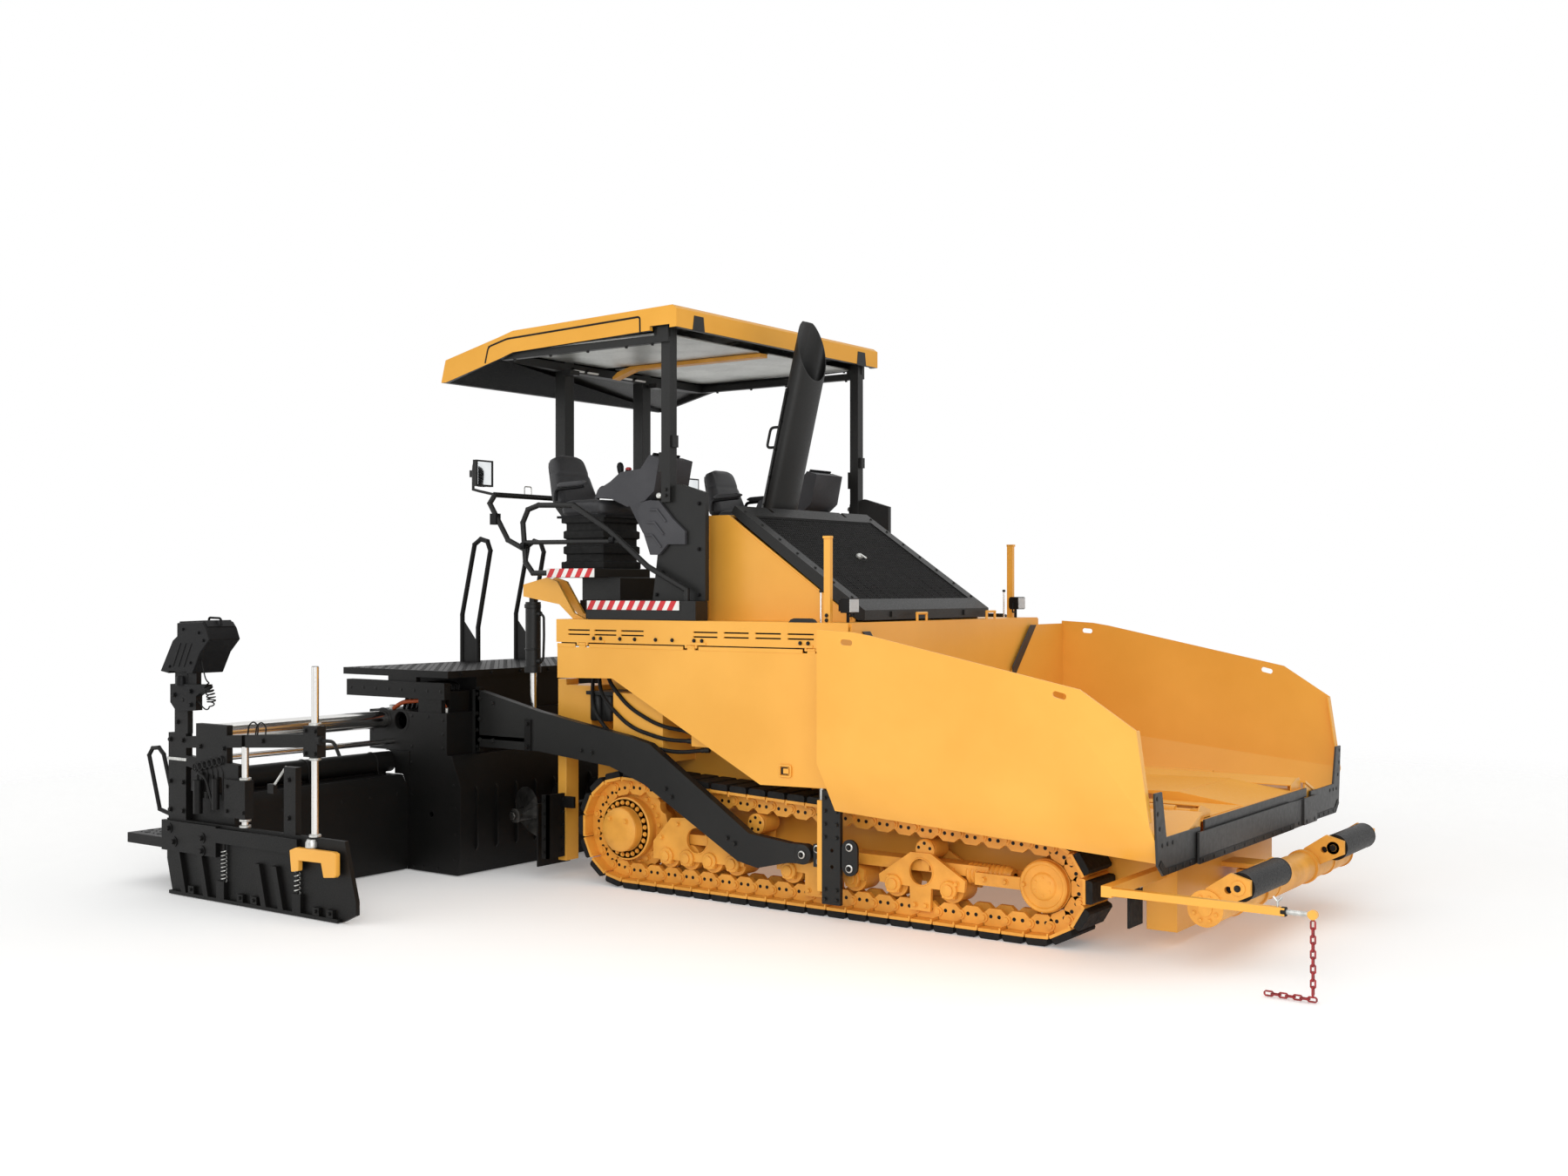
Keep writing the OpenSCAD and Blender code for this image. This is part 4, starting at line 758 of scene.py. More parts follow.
def hood_grille():
    """Woven wire and gauze over the slats, the frame's bolts, the latch and the stops"""
    wires, fittings, latch = bmesh.new(), bmesh.new(), bmesh.new()
    x0, x1, y0, y1 = 0.0, 0.812, -0.862, 0.572
    thick, step = 0.0024, 0.024
    across = int((x1 - x0) / step)
    for k in range(across + 1):
        x = x0 + (x1 - x0) * k / across
        z = hood_top(x) - 0.008
        box(wires, (x - thick, y0, z - thick), (x + thick, y1, z + thick))
    long = int((y1 - y0) / step)
    ends = [(x0, hood_top(x0) - 0.011), (x1, hood_top(x1) - 0.011), (x1, hood_top(x1) - 0.006),
            (x0, hood_top(x0) - 0.006)]
    for k in range(long + 1):
        y = y0 + (y1 - y0) * k / long
        prism(wires, ends, y - thick, y + thick)
    up = Vector((-HOOD_RISE, 0, 1)).normalized()
    gauze = [(x0, hood_top(x0) - 0.02), (x1, hood_top(x1) - 0.02), (x1, hood_top(x1) - 0.018),
             (x0, hood_top(x0) - 0.018)]
    prism(wires, gauze, y0, y1)
    for y in (-0.92, 0.63):
        for k in range(7):
            x = -0.04 + 0.14 * k
            bolt(fittings, (x, y, hood_top(x)), up, 0.014)
    # Latch in the mesh and stops at the lower edge
    x, y = 0.385, -0.2
    foot = Vector((x, y, hood_top(x) - 0.012))
    lathe(latch, foot, up, [(0.024, 0.0), (0.024, 0.016), (0.016, 0.026), (0.01, 0.03)], 18)
    rod(latch, foot + up * 0.028, foot + up * 0.028 + Vector((0.05, 0, -0.03)), 0.007, 10)
    for y in (-0.62, 0.33):
        box(fittings, (0.92, y - 0.03, 1.86), (0.932, y + 0.03, 1.895))
    make("hood_mesh", wires, BLACK, "hood")
    make("hood_latch", latch, ZINC, "hood")
    make("hood_fittings", fittings, CHARCOAL, "hood")


def housing_fittings():
    """Bolts and joint strips of the engine housing"""
    yellow, dark = bmesh.new(), bmesh.new()
    for y, side in ((-0.95, -1), (0.66, 1)):
        for z in (1.95, 2.2, 2.44):
            bolt(dark, (-0.36, y, z), (0, side, 0), 0.016)
        box(yellow, (-0.325, y, 1.84), (-0.315, y + side * 0.003, 2.52))
        slope = [(-0.105, 2.478), (0.815, 1.858), (0.815, 1.842), (-0.12, 2.472)]
        prism(yellow, slope, y, y + side * 0.004)
    make("housing_bolts", dark, CHARCOAL, "tractor")
    make("housing_strips", yellow, YELLOW, "tractor")


STACK_FOOT = Vector((-0.29, -0.2, 2.53))
STACK_LEAN = 0.25
STACK_TALL = 1.372
DUCT_X, DUCT_Y = 0.095, 0.165


def on_stack(h, u, v):
    """A point at a height of the leaning duct, u forward and v sideways of its axis"""
    return STACK_FOOT + Vector((STACK_LEAN * h + u, v, h))


def oval(grow, first=0.0, last=2 * math.pi, count=48):
    """Part of the duct's oval section, grown outward"""
    angles = [first + (last - first) * k / count for k in range(count)]
    return [((DUCT_X + grow) * math.cos(a), (DUCT_Y + grow) * math.sin(a)) for a in angles]


def exhaust_duct():
    """Oval duct that ends in a beak, cut so that it opens forward"""
    bm = bmesh.new()
    wall, floor = 0.006, 0.87

    def brim(u):
        return min(STACK_TALL, (0.4957 - u) / (STACK_LEAN + 0.176))

    outer, inner = oval(0.0), oval(-wall)
    skin(bm, [[on_stack(0.0, u, v) for u, v in outer], [on_stack(brim(u), u, v) for u, v in outer],
              [on_stack(brim(u), u, v) for u, v in inner], [on_stack(floor, u, v) for u, v in inner]])
    duct = make("exhaust_duct", bm, CHARCOAL, "tractor")
    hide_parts("exhaust_stack")


def stack_fittings():
    """Heat shield around the duct's back, its screws, the grab handle and the foot's ring of bolts"""
    bm = bmesh.new()
    first, last = math.radians(105), math.radians(262)
    shield = oval(0.009, first, last, 30) + oval(0.002, first, last, 30)[::-1]
    prism(bm, shield, 0.05, 0.9, lambda u, v, w: on_stack(w, u, v))
    a = math.radians(255)
    way = (math.cos(a) / DUCT_X, math.sin(a) / DUCT_Y, 0)
    for k in range(5):
        bolt(bm, on_stack(0.1 + 0.19 * k, 0.103 * math.cos(a), 0.173 * math.sin(a)), way, 0.014)
    handle = [on_stack(h, u, -0.1) for h, u in ((0.5, -0.07), (0.5, -0.15), (0.64, -0.15), (0.64, -0.07))]
    tube(bm, bent(handle, 0.03), 0.01, 10)
    ring = oval(0.003)
    tube(bm, [on_stack(0.03, u, v) for u, v in ring + ring[:1]], 0.006, 8)
    for k in range(10):
        a = 2 * math.pi * k / 10
        bolt(bm, STACK_FOOT + Vector((0.13 * math.cos(a), 0.2 * math.sin(a), 0)), (0, 0, 1), 0.018)
    make("stack_fittings", bm, CHARCOAL, "tractor")


def housing_rail():
    """Grab rail on the left side of the engine housing, parallel to the hood"""
    bm = bmesh.new()
    y, wall = 0.78, 0.655
    line = [(-0.1, wall, 2.44), (-0.063, y, 2.449), (0.022, y, 2.422), (0.41, y, 2.172), (0.425, y, 2.128),
            (0.366, y, 2.115), (0.36, wall, 2.11)]
    tube(bm, bent(line, 0.03), 0.011, 12)
    for at in (line[0], line[-1]):
        lathe(bm, at, (0, 1, 0), [(0.03, 0.004), (0.03, 0.012), (0.016, 0.02)], 18)
    make("housing_rail", bm, CHARCOAL, "tractor")


# Platform

def striped_board(name, x0, x1, z0, z1, side, face):
    """White reflective board with slanted red bars"""
    white, red = bmesh.new(), bmesh.new()
    tall = z1 - z0
    box(white, (x0, side * face, z0), (x1, side * (face + 0.003), z1))
    pitch, wide = 0.088, 0.046
    count = int((x1 - x0 - tall * 0.6) / pitch)
    for k in range(count + 1):
        x = x0 + k * pitch
        bar = [(x, z0), (x + wide, z0), (x + wide + tall * 0.6, z1), (x + tall * 0.6, z1)]
        bar = [(min(u, x1), v) for u, v in bar]
        prism(red, bar, side * (face + 0.002), side * (face + 0.0042))
    make(name + "_white", white, STRIPE_WHITE, "tractor")
    make(name + "_red", red, STRIPE_RED, "tractor")


def platform_boards(side_name, side):
    """The two striped boards on the platform's side"""
    outer, upper = BODY_HALF - 0.01, BODY_HALF - 0.04
    striped_board("low_board_" + side_name, -1.128, -0.32, 1.898, 1.959, side, outer)
    striped_board("high_board_" + side_name, -1.534, -1.09, 2.119, 2.179, side, upper)


def floor_treads():
    """Raised tread on the platform floor"""
    bm = bmesh.new()
    step = 0.06
    for i in range(17):
        for j in range(31):
            x, y = -1.42 + step * i, -0.93 + step * j + step / 2 * (i % 2)
            if abs(abs(y) - 0.88) < 0.24 and x < -0.96 or -0.5 < x or abs(y) > 0.93:
                continue
            tread_lug(bm, x, y, 0.016, 0.7 if (i + j) % 2 else -0.7, 1.959, 1.963)
    make("floor_treads", bm, CHARCOAL, "tractor")


def loft(bm, stations, points=36, power=0.55):
    """A padded form: each station gives a middle, a half width, a half height and the height's way"""
    rings = []
    for middle, wide, thick, way in stations:
        ring = []
        for k in range(points):
            a = 2 * math.pi * k / points
            c, s = math.cos(a), math.sin(a)
            across = math.copysign(abs(c) ** (power * 0.6), c) * wide
            up = math.copysign(abs(s) ** power, s) * thick
            ring.append(Vector(middle) + Vector((0, across, 0)) + Vector(way) * up)
        rings.append(ring)
    skin(bm, rings)


def swell(piece, cap):
    """Fills a closed pad like stuffed vinyl, no point moving further than cap, and keeps the shape"""
    rest = [v.co.copy() for v in piece.data.vertices]
    cloth = piece.modifiers.new("filled", "CLOTH")
    cloth.settings.use_pressure = True
    cloth.settings.uniform_pressure_force = 4.0
    cloth.settings.effector_weights.gravity = 0.0
    cloth.settings.quality = 4
    cloth.point_cache.frame_start = 1
    cloth.point_cache.frame_end = 20
    scene = bpy.context.scene
    for step in range(1, 21):
        scene.frame_set(step)
    seen = piece.evaluated_get(bpy.context.evaluated_depsgraph_get())
    moved = [v.co.copy() for v in seen.data.vertices]
    piece.modifiers.remove(cloth)
    scene.frame_set(1)
    for v, p, q in zip(piece.data.vertices, rest, moved):
        way = q - p
        v.co = p + way * min(1.0, cap / max(way.length, 1e-6))


def press_seams(piece, seams, depth, width):
    """Pulls the skin in along sewn lines; each seam gives how far a point is from it"""
    for v in piece.data.vertices:
        for distance in seams:
            d = distance(v.co)
            v.co -= v.normal * depth * math.exp(-(d / width) ** 2)


def seat(side_name, side):
    """Cushion and back with bolsters, on a moulded shell with arm rests"""
    y = side * 0.9
    # Cushion, from its rear edge to its rolled front
    cushion = bmesh.new()
    stations = []
    for k in range(25):
        t = k / 24
        roll = math.sqrt(max(0.0, 1 - (2 * t - 1) ** 8))
        x = -1.555 + 0.465 * t
        thick = 0.012 + 0.042 * roll
        stations.append(((x, y, 2.6 + 0.006 * math.sin(math.pi * t)), 0.05 + 0.185 * roll, thick, (0, 0, 1)))
    loft(cushion, stations)
    pad = make("seat_cushion_" + side_name, cushion, VINYL, "tractor")
    # Back, wider at the foot and drawn in to a rounded head
    back = bmesh.new()
    lean = Vector((-0.135, 0, 0.43)).normalized()
    facing = Vector((lean.z, 0, -lean.x))
    stations = []
    for k in range(33):
        t = k / 32
        wide = 0.225 - 0.075 * t ** 1.5
        close = math.sqrt(max(0.0, 1 - (2 * t - 1) ** 10))
        middle = Vector((-1.553, y, 2.597)) + lean * (0.425 * t)
        stations.append((middle, 0.04 + (wide - 0.04) * close, 0.012 + 0.034 * close, facing))
    loft(back, stations)
    rest = make("seat_back_" + side_name, back, VINYL, "tractor")
    swell(pad, 0.008)
    swell(rest, 0.008)
    press_seams(pad, [lambda p: abs(p.y - y) - 0.13, lambda p: p.x + 1.2], 0.007, 0.009)
    press_seams(rest, [lambda p: abs(abs(p.y - y) - 0.115), lambda p: p.z - 2.86], 0.007, 0.009)
    for soft in (pad, rest):
        smooth = soft.modifiers.new("smooth_skin", "SUBSURF")
        smooth.levels = smooth.render_levels = 1
    # Moulded shell behind the back, and the arm rests
    shell, arms = bmesh.new(), bmesh.new()
    stations = []
    for k in range(13):
        t = k / 12
        wide = (0.2 - 0.06 * t) * math.sqrt(max(0.05, 1 - (2 * t - 1) ** 12))
        middle = Vector((-1.598, y, 2.61)) + lean * (0.38 * t)
        stations.append((middle, wide, 0.02, facing))
    loft(shell, stations, 28)
    box(shell, (-1.57, y - 0.2, 2.536), (-1.11, y + 0.2, 2.553))
    for s in (-1, 1):
        arm_y = y + s * 0.222
        tube(shell, bent([(-1.56, arm_y, 2.66), (-1.56, arm_y, 2.74), (-1.3, arm_y, 2.755)], 0.04), 0.013, 10)
        stations = [((-1.54 + 0.27 * k / 8, arm_y, 2.768 + 0.01 * k / 8),
                     0.012 + 0.016 * math.sqrt(max(0.0, 1 - (k / 4 - 1) ** 6)),
                     0.006 + 0.012 * math.sqrt(max(0.0, 1 - (k / 4 - 1) ** 6)), (0, 0, 1)) for k in range(9)]
        loft(arms, stations, 20)
    make("seat_shell_" + side_name, shell, DARK, "tractor")
    arm_pads = make("seat_arms_" + side_name, arms, VINYL, "tractor")
    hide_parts("seat_" + side_name)


def console_controls(side_name, side):
    """Joystick, stop button, switches, display and pressed ribs of an operator's console"""
    dark, red, glass, grey, bright = (bmesh.new() for _ in range(5))
    y = side * 0.95
    # Joystick on its gaiter
    base = Vector((-1.09, y, 2.755))
    gaiter = [(0.045, 0.0), (0.04, 0.02), (0.026, 0.035), (0.02, 0.05), (0.014, 0.055)]
    lathe(dark, base, (-0.15, 0, 1), gaiter, 20)
    lathe(dark, base + Vector((-0.008, 0, 0.05)), (-0.12, 0, 1),
          [(0.012, 0.0), (0.016, 0.03), (0.023, 0.06), (0.025, 0.09), (0.019, 0.11), (0.008, 0.118)], 18)
    # Stop button and a row of switches along the slanted desk
    button = Vector((-0.955, side * 1.04, 2.846))
    lathe(dark, button, (0, 0, 1), [(0.024, -0.012), (0.024, 0.008)], 18)
    lathe(red, button, (0, 0, 1), [(0.014, 0.006), (0.022, 0.012), (0.022, 0.022), (0.012, 0.03)], 20)
    for i in range(6):
        for j in range(2):
            x = -0.935 + 0.028 * i
            at = Vector((x, side * (0.82 + 0.06 * j), 2.846 + 0.0005 * i))
            lathe(dark, at, (0, 0, 1), [(0.008, -0.006), (0.008, 0.004), (0.0045, 0.006), (0.0045, 0.02)], 10)
    # Display standing on the front edge
    screen = [(-0.775, 2.862), (-0.712, 2.952), (-0.718, 2.957), (-0.782, 2.866)]
    prism(glass, screen, side * 0.82, side * 1.06)
    prism(dark, [(-0.778, 2.852), (-0.7, 2.962), (-0.69, 2.956), (-0.768, 2.846)], side * 0.8, side * 1.08)
    # Pressed ribs of the outer shield
    face = BODY_HALF - 0.091
    rib = [(-0.655, 0.0), (-0.585, 0.0), (-0.505, -0.085), (-0.515, -0.094), (-0.59, -0.014),
           (-0.655, -0.014)]
    for k in range(3):
        prism(grey, [(u - 0.02 * k + 0.01, 2.575 - 0.085 * k + v) for u, v in rib], side * (face - 0.002),
              side * (face + 0.006))
    knob = [(0.02, 0.0), (0.02, 0.012), (0.014, 0.018)]
    lathe(bright, (-0.575, side * (BODY_HALF - 0.115), 2.662), (0, side, 0), knob, 20)
    for x, z in [(-0.24, 2.0), (-0.24, 2.3), (-0.24, 2.6), (-0.6, 2.0), (-0.55, 2.15)]:
        bolt(dark, (x, side * (BODY_HALF - 0.115), z), (0, side, 0), 0.018)
    make("console_switches_" + side_name, dark, DARK, "tractor")
    make("console_stop_" + side_name, red, RED, "tractor")
    make("console_display_" + side_name, glass, SCREEN, "tractor")
    make("console_ribs_" + side_name, grey, GREY, "tractor", 0.003)
    make("console_knob_" + side_name, bright, ZINC, "tractor")


def rail_fittings(side_name, side):
    """Mirror glass and shell, the wire loop on the rear rail and clamps"""
    glass, dark, wire = bmesh.new(), bmesh.new(), bmesh.new()
    y0, y1 = side * (BODY_HALF + 0.008), side * (BODY_HALF - 0.148)
    middle, half = (y0 + y1) / 2, abs(y0 - y1) / 2
    outline = [(math.copysign(abs(math.cos(a)) ** 0.5, math.cos(a)),
                math.copysign(abs(math.sin(a)) ** 0.5, math.sin(a)))
               for a in (2 * math.pi * (i + 0.5) / 28 for i in range(28))]
    rings = []
    for k in range(7):
        t = k / 6
        shrink, x = math.cos(t * 1.25), -2.213 - 0.05 * math.sin(t * 1.25)
        rings.append([Vector((x, middle + half * shrink * c, 2.875 + 0.098 * shrink * s))
                      for c, s in outline])
    skin(dark, rings)
    box(glass, (-2.181, middle - half + 0.012, 2.792), (-2.1775, middle + half - 0.012, 2.958))
    loop = [(-2.067, side * 0.916, 2.73), (-2.067, side * 0.916, 2.79), (-2.067, side * 0.844, 2.79),
            (-2.067, side * 0.844, 2.73)]
    tube(wire, bent(loop, 0.016), 0.0045, 8)
    box(dark, (-2.09, side * (BODY_HALF - 0.085), 2.5), (-2.03, side * (BODY_HALF - 0.035), 2.58))
    for x, z in [(-1.775, 2.344), (-0.94, 2.372)]:
        lathe(dark, (x - 0.02, side * (BODY_HALF - 0.06), z), (1, 0, 0), [(0.026, 0.0), (0.026, 0.04)], 18)
    make("mirror_glass_" + side_name, glass, MIRROR, "tractor", 0.001)
    make("mirror_shell_" + side_name, dark, DARK, "tractor")
    make("rail_loop_" + side_name, wire, ZINC, "tractor")


def canopy_fittings():
    """Centre bar, lining panels, lamp strips and brackets of the roof, with painted shade in its side groove
    and front notches
    """
    yellow, dark, white, groove_shade, lining = (bmesh.new() for _ in range(5))
    top = ROOF_TOP
    bar = [(-0.56, top - 0.165), (-1.8, top - 0.165), (-1.93, top - 0.2), (-1.98, top - 0.235),
           (-1.98, top - 0.255), (-1.9, top - 0.23), (-1.78, top - 0.195), (-0.56, top - 0.195)]
    prism(yellow, bar, -0.045, 0.045)
    # Lamp strips and a junction box on the rear cross beam
    for y in (-0.36, -0.2, 0.2, 0.36):
        box(white, (-2.048, y - 0.055, top - 0.226), (-2.03, y + 0.055, top - 0.214))
        box(dark, (-2.05, y - 0.062, top - 0.214), (-2.026, y + 0.062, top - 0.2))
    for s in (-1, 1):
        box(dark, (-2.03, s * 0.5 - 0.05, top - 0.27), (-1.95, s * 0.5 + 0.05, top - 0.234))
        for x in (-1.9, -1.55, -1.2, -0.85, -0.62):
            bolt(dark, (x, s * 1.184, top - 0.234), (0, 0, -1), 0.018)
        # Block and marker lamp at the front corner
        box(dark, (-0.6, s * 1.16, top - 0.2), (-0.46, s * 1.19, top - 0.128))
        glass = [(0.03, 0.0), (0.034, 0.02), (0.034, 0.026)]
        shell = [(0.026, 0.0), (0.038, 0.03), (0.038, 0.052)]
        lathe(white, (-0.45, s * 1.1, top - 0.085), (1, 0, -0.3), glass, 18)
        lathe(dark, (-0.48, s * 1.1, top - 0.078), (1, 0, -0.3), shell, 18)
    # Clips and hinge plates on the front posts
    for s in (-1, 1):
        box(dark, (-0.466, s * 1.13, 2.98), (-0.44, s * 1.175, 3.06))
        box(dark, (-0.56, s * 1.115, 2.82), (-0.538, s * 1.19, 2.95))
        for z in (2.66, 2.7):
            bolt(dark, (-0.5, s * 1.19, z), (0, s, 0), 0.02)
        # Black tube in the joint line of the side: painted shade that darkens the groove
        seam = [(-2.136, 0.25), (-2.104, 0.135), (-1.918, 0.094), (-0.695, 0.056), (-0.679, 0.066),
                (-0.677, 0.165)]
        tube(groove_shade, bent([(x, s * (ROOF_HALF - 0.004), top - drop) for x, drop in seam], 0.03), 0.0085, 8)
        # Black plate filling the notch of the front edge: painted shade in the notch
        notch_shade = [(1.075, 0.155), (1.058, 0.052), (0.957, 0.052), (0.943, 0.155)]
        notch_shade = [(s * y, top - drop) for y, drop in notch_shade]
        prism(dark, notch_shade, ROOF_FRONT - 0.01, ROOF_FRONT + 0.002, along_x)
        # Foil-faced lining panel on the side beams
        sheet = [(-0.56, 0.055), (-0.56, 1.155), (-1.96, 1.155), (-2.04, 1.075), (-2.04, 0.055)]
        prism(lining, [(x, s * y) for x, y in sheet], top - 0.166, top - 0.154, along_z)
    make("roof_groove_shade", groove_shade, RUBBER, "tractor")
    make("lining_panels", lining, LINER, "tractor", 0.003)
    make("canopy_bar", yellow, CASTING, "tractor", 0.004)
    make("canopy_brackets", dark, CHARCOAL, "tractor")
    make("canopy_lamps", white, STRIPE_WHITE, "tractor")


def work_lamp(side_name, side):
    """Lens, lamp cells, cooling fins and lead of a deck lamp"""
    lens, cells, fins = bmesh.new(), bmesh.new(), bmesh.new()
    y0, y1 = side * (BODY_HALF - 0.205), side * (BODY_HALF - 0.105)
    box(lens, (0.9455, y0, 1.895), (0.951, y1, 1.975))
    for i in range(3):
        for j in range(2):
            at = (0.944, side * (BODY_HALF - 0.19 + 0.035 * i), 1.915 + 0.04 * j)
            lathe(cells, at, (1, 0, 0), [(0.008, 0.0), (0.015, 0.0012)], 16)
    for k in range(6):
        y = BODY_HALF - 0.2 + 0.018 * k
        box(fins, (0.866, side * y, 1.9), (0.881, side * (y + 0.006), 1.97))
    lead = [(0.91, y0 - side * 0.002, 1.93), (0.91, y0 - side * 0.012, 1.93),
            (0.905, y0 - side * 0.012, 1.87), (0.9, side * (BODY_HALF - 0.155), 1.868)]
    tube(fins, bent(lead, 0.01), 0.006, 8)
    make("lamp_lens_" + side_name, lens, LENS, "tractor", 0.001)
    make("lamp_cells_" + side_name, cells, ZINC, "tractor")
    make("lamp_fins_" + side_name, fins, DARK, "tractor")


# Hopper and front

def wing_fittings(side_name, side):
    """Edge bar and closing plate of a wing's front, and the edge strip and studs of its rubber flap"""
    yellow, dark = bmesh.new(), bmesh.new()
    body = "wing_" + side_name
    edge = [(3.02, 1.302), (3.068, 0.972), (3.086, 0.83)]
    inner, outer = 1.596, 1.643
    corners = [(-0.012, inner), (-0.012, outer), (0.0, outer), (0.0, inner)]
    skin(yellow, [[Vector((x + u, side * y, z)) for u, y in corners] for x, z in edge])
    spots = [(1.57, 0.95), (1.56, 0.87), (1.535, 0.79), (1.5, 0.7), (1.43, 0.7), (1.36, 0.7)]
    for y, z in spots:
        stud(dark, (3.104, side * y, z), (1, 0, 0))
    strip = [(1.05, 0.576), (1.05, 0.542), (1.48, 0.54), (1.55, 0.6), (1.52, 0.625), (1.462, 0.576)]
    prism(dark, [(side * u, v) for u, v in strip], 3.1035, 3.108, along_x)
    for y in (1.42, 1.32, 1.22, 1.12):
        stud(dark, (3.108, side * y, FLAP_STUD_Z), (1, 0, 0))
    # Plate that closes the front under the wing's sloping floor
    close = [(0.905, 0.788), (0.905, 0.69), (1.12, 0.69), (1.12, 0.712)]
    prism(yellow, [(side * u, v) for u, v in close], 3.068, 3.082, along_x)
    make("wing_flange_" + side_name, yellow, YELLOW, body, 0.003)
    make("flap_bolts_" + side_name, dark, BLACK, body)


def hopper_plates():
    """Covers on the hopper's floor and rear wall, hinge strips, and the apron's edges and studs"""
    yellow, dark, plates, edge = (bmesh.new() for _ in range(4))
    box(dark, (3.1235, -1.03, 0.541), (3.128, 0.55, 0.576))
    for k in range(10):
        stud(dark, (3.128, -0.98 + 0.163 * k, FLAP_STUD_Z), (1, 0, 0))
    for y, x in ((0.6, 3.11), (0.7, 3.11), (0.82, 3.122), (0.98, 3.122)):
        stud(dark, (x, y, FLAP_STUD_Z), (1, 0, 0))
    # Cover over the conveyor drives at the rear wall
    cover = [(1.0155, 1.3), (1.0185, 1.3), (1.0185, 0.86), (1.0155, 0.86)]
    prism(yellow, cover, -0.72, 0.72)
    for y in (-0.68, -0.34, 0.0, 0.34, 0.68):
        for z in (0.9, 1.26):
            stud(yellow, (1.0185, y, z), (1, 0, 0))
    # Lip of the floor's front edge and the rubber edge over the apron
    lip = [(3.03, 0.7555), (3.086, 0.758), (3.086, 0.7525), (3.03, 0.7515)]
    prism(plates, lip, -0.885, 0.885)
    box(edge, (3.0865, -0.885, 0.7055), (3.1, 0.885, 0.763))
    # Left cover, flat and then sloping to the lip, and the lower right covers beside it
    high = [(2.07, 0.803), (2.65, 0.815), (3.062, 0.7595), (3.062, 0.7555), (2.49, 0.7555), (2.49, 0.79),
            (2.07, 0.793)]
    prism(plates, high, -0.165, 0.7)
    box(plates, (2.66, -0.165, 0.756), (2.664, 0.7, 0.816))
    for near, far in ((-0.8, -0.52), (-0.512, -0.2)):
        box(plates, (2.3, near, 0.7555), (3.06, far, 0.764))
    # Sloping strips that cover the wing hinges, with a cap at the front
    for s in (-1, 1):
        strip = [(0.7, 0.797), (0.822, 0.832), (0.822, 0.825), (0.7, 0.789)]
        prism(plates, [(s * u, v) for u, v in strip], 1.07, 3.058, along_x)
        cap = [(0.7, 0.755), (0.885, 0.755), (0.889, 0.8), (0.86, 0.83), (0.822, 0.832), (0.7, 0.797)]
        prism(plates, [(s * u, v) for u, v in cap], 3.052, 3.06, along_x)
    make("hopper_floor_covers", plates, YELLOW, "tractor", 0.002)
    make("apron_bolts", dark, BLACK, "tractor")
    make("apron_edge", edge, SHEET, "tractor", 0.003)
    make("hopper_covers", yellow, YELLOW, "tractor")


def band(bm, x, y, z, half, radius, sides):
    """A flat band round a tube that lies across the machine"""
    rod(bm, (x, y - half, z), (x, y + half, z), radius, sides)


def push_beam_fittings():
    """End caps, weld bands and bolts of the push beam, and the end bands of its rollers"""
    caps, dark = bmesh.new(), bmesh.new()
    for s in (-1, 1):
        out = (0, s, 0)
        bolt_circle(caps, (PUSH_BEAM_X, s * 1.174, PUSH_BEAM_Z), s, 0.066, 8, 0.018)
        cap = [(0.04, 0.0), (0.04, 0.01), (0.03, 0.014)]
        lathe(caps, (PUSH_BEAM_X, s * 1.172, PUSH_BEAM_Z), out, cap, 24)
        for y in (0.49, 1.16):
            cap = [(0.04, 0.0), (0.04, 0.008), (0.03, 0.012)]
            lathe(caps, (PUSH_ROLLER_X, s * y, PUSH_ROLLER_Z), out, cap, 20)
            bolt(dark, (PUSH_ROLLER_X, s * (y + 0.011), PUSH_ROLLER_Z), out, 0.024)
        for y in (0.45, 0.8):
            band(caps, PUSH_BEAM_X, s * y, PUSH_BEAM_Z, s * 0.012, 0.1, 36)
    make("push_beam_caps", caps, CASTING, "push_beam", 0.003)
    make("push_beam_bolts", dark, CHARCOAL, "push_beam")
    for name, s in SIDES.items():
        ends = bmesh.new()
        for y in (0.53, 1.12):
            band(ends, PUSH_ROLLER_X, s * y, PUSH_ROLLER_Z, s * 0.006, 0.0795, 32)
        make("roller_bands_" + name, ends, BLACK, "roller_" + name, 0.002)


def guide_rod_fittings():
    """Bright sleeve, nut and wing screw of the steering guide rod, and the rubber flap at its bracket"""
    bright, dark = bmesh.new(), bmesh.new()
    y, z = -1.53, 0.435
    rod(bright, (3.76, y, z), (3.87, y, z), 0.0126, 18)
    lathe(dark, (3.74, y, z), (1, 0, 0), [(0.026, 0.0), (0.026, 0.024)], 6)
    rod(bright, (3.72, y, z + 0.02), (3.72, y, z + 0.05), 0.007, 12)
    for s in (-1, 1):
        rod(bright, (3.72, y, z + 0.045), (3.72 + s * 0.022, y, z + 0.07), 0.006, 10)
    # Rubber flap that hangs under the rod's bracket
    box(dark, (2.784, -1.215, 0.18), (2.796, -1.03, 0.42))
    for at in (-1.18, -1.065):
        bolt(bright, (2.796, at, 0.396), (1, 0, 0), 0.02)
    make("guide_rod_sleeve", bright, ZINC, "tractor")
    make("guide_rod_flap", dark, RUBBER, "tractor")


# Screed

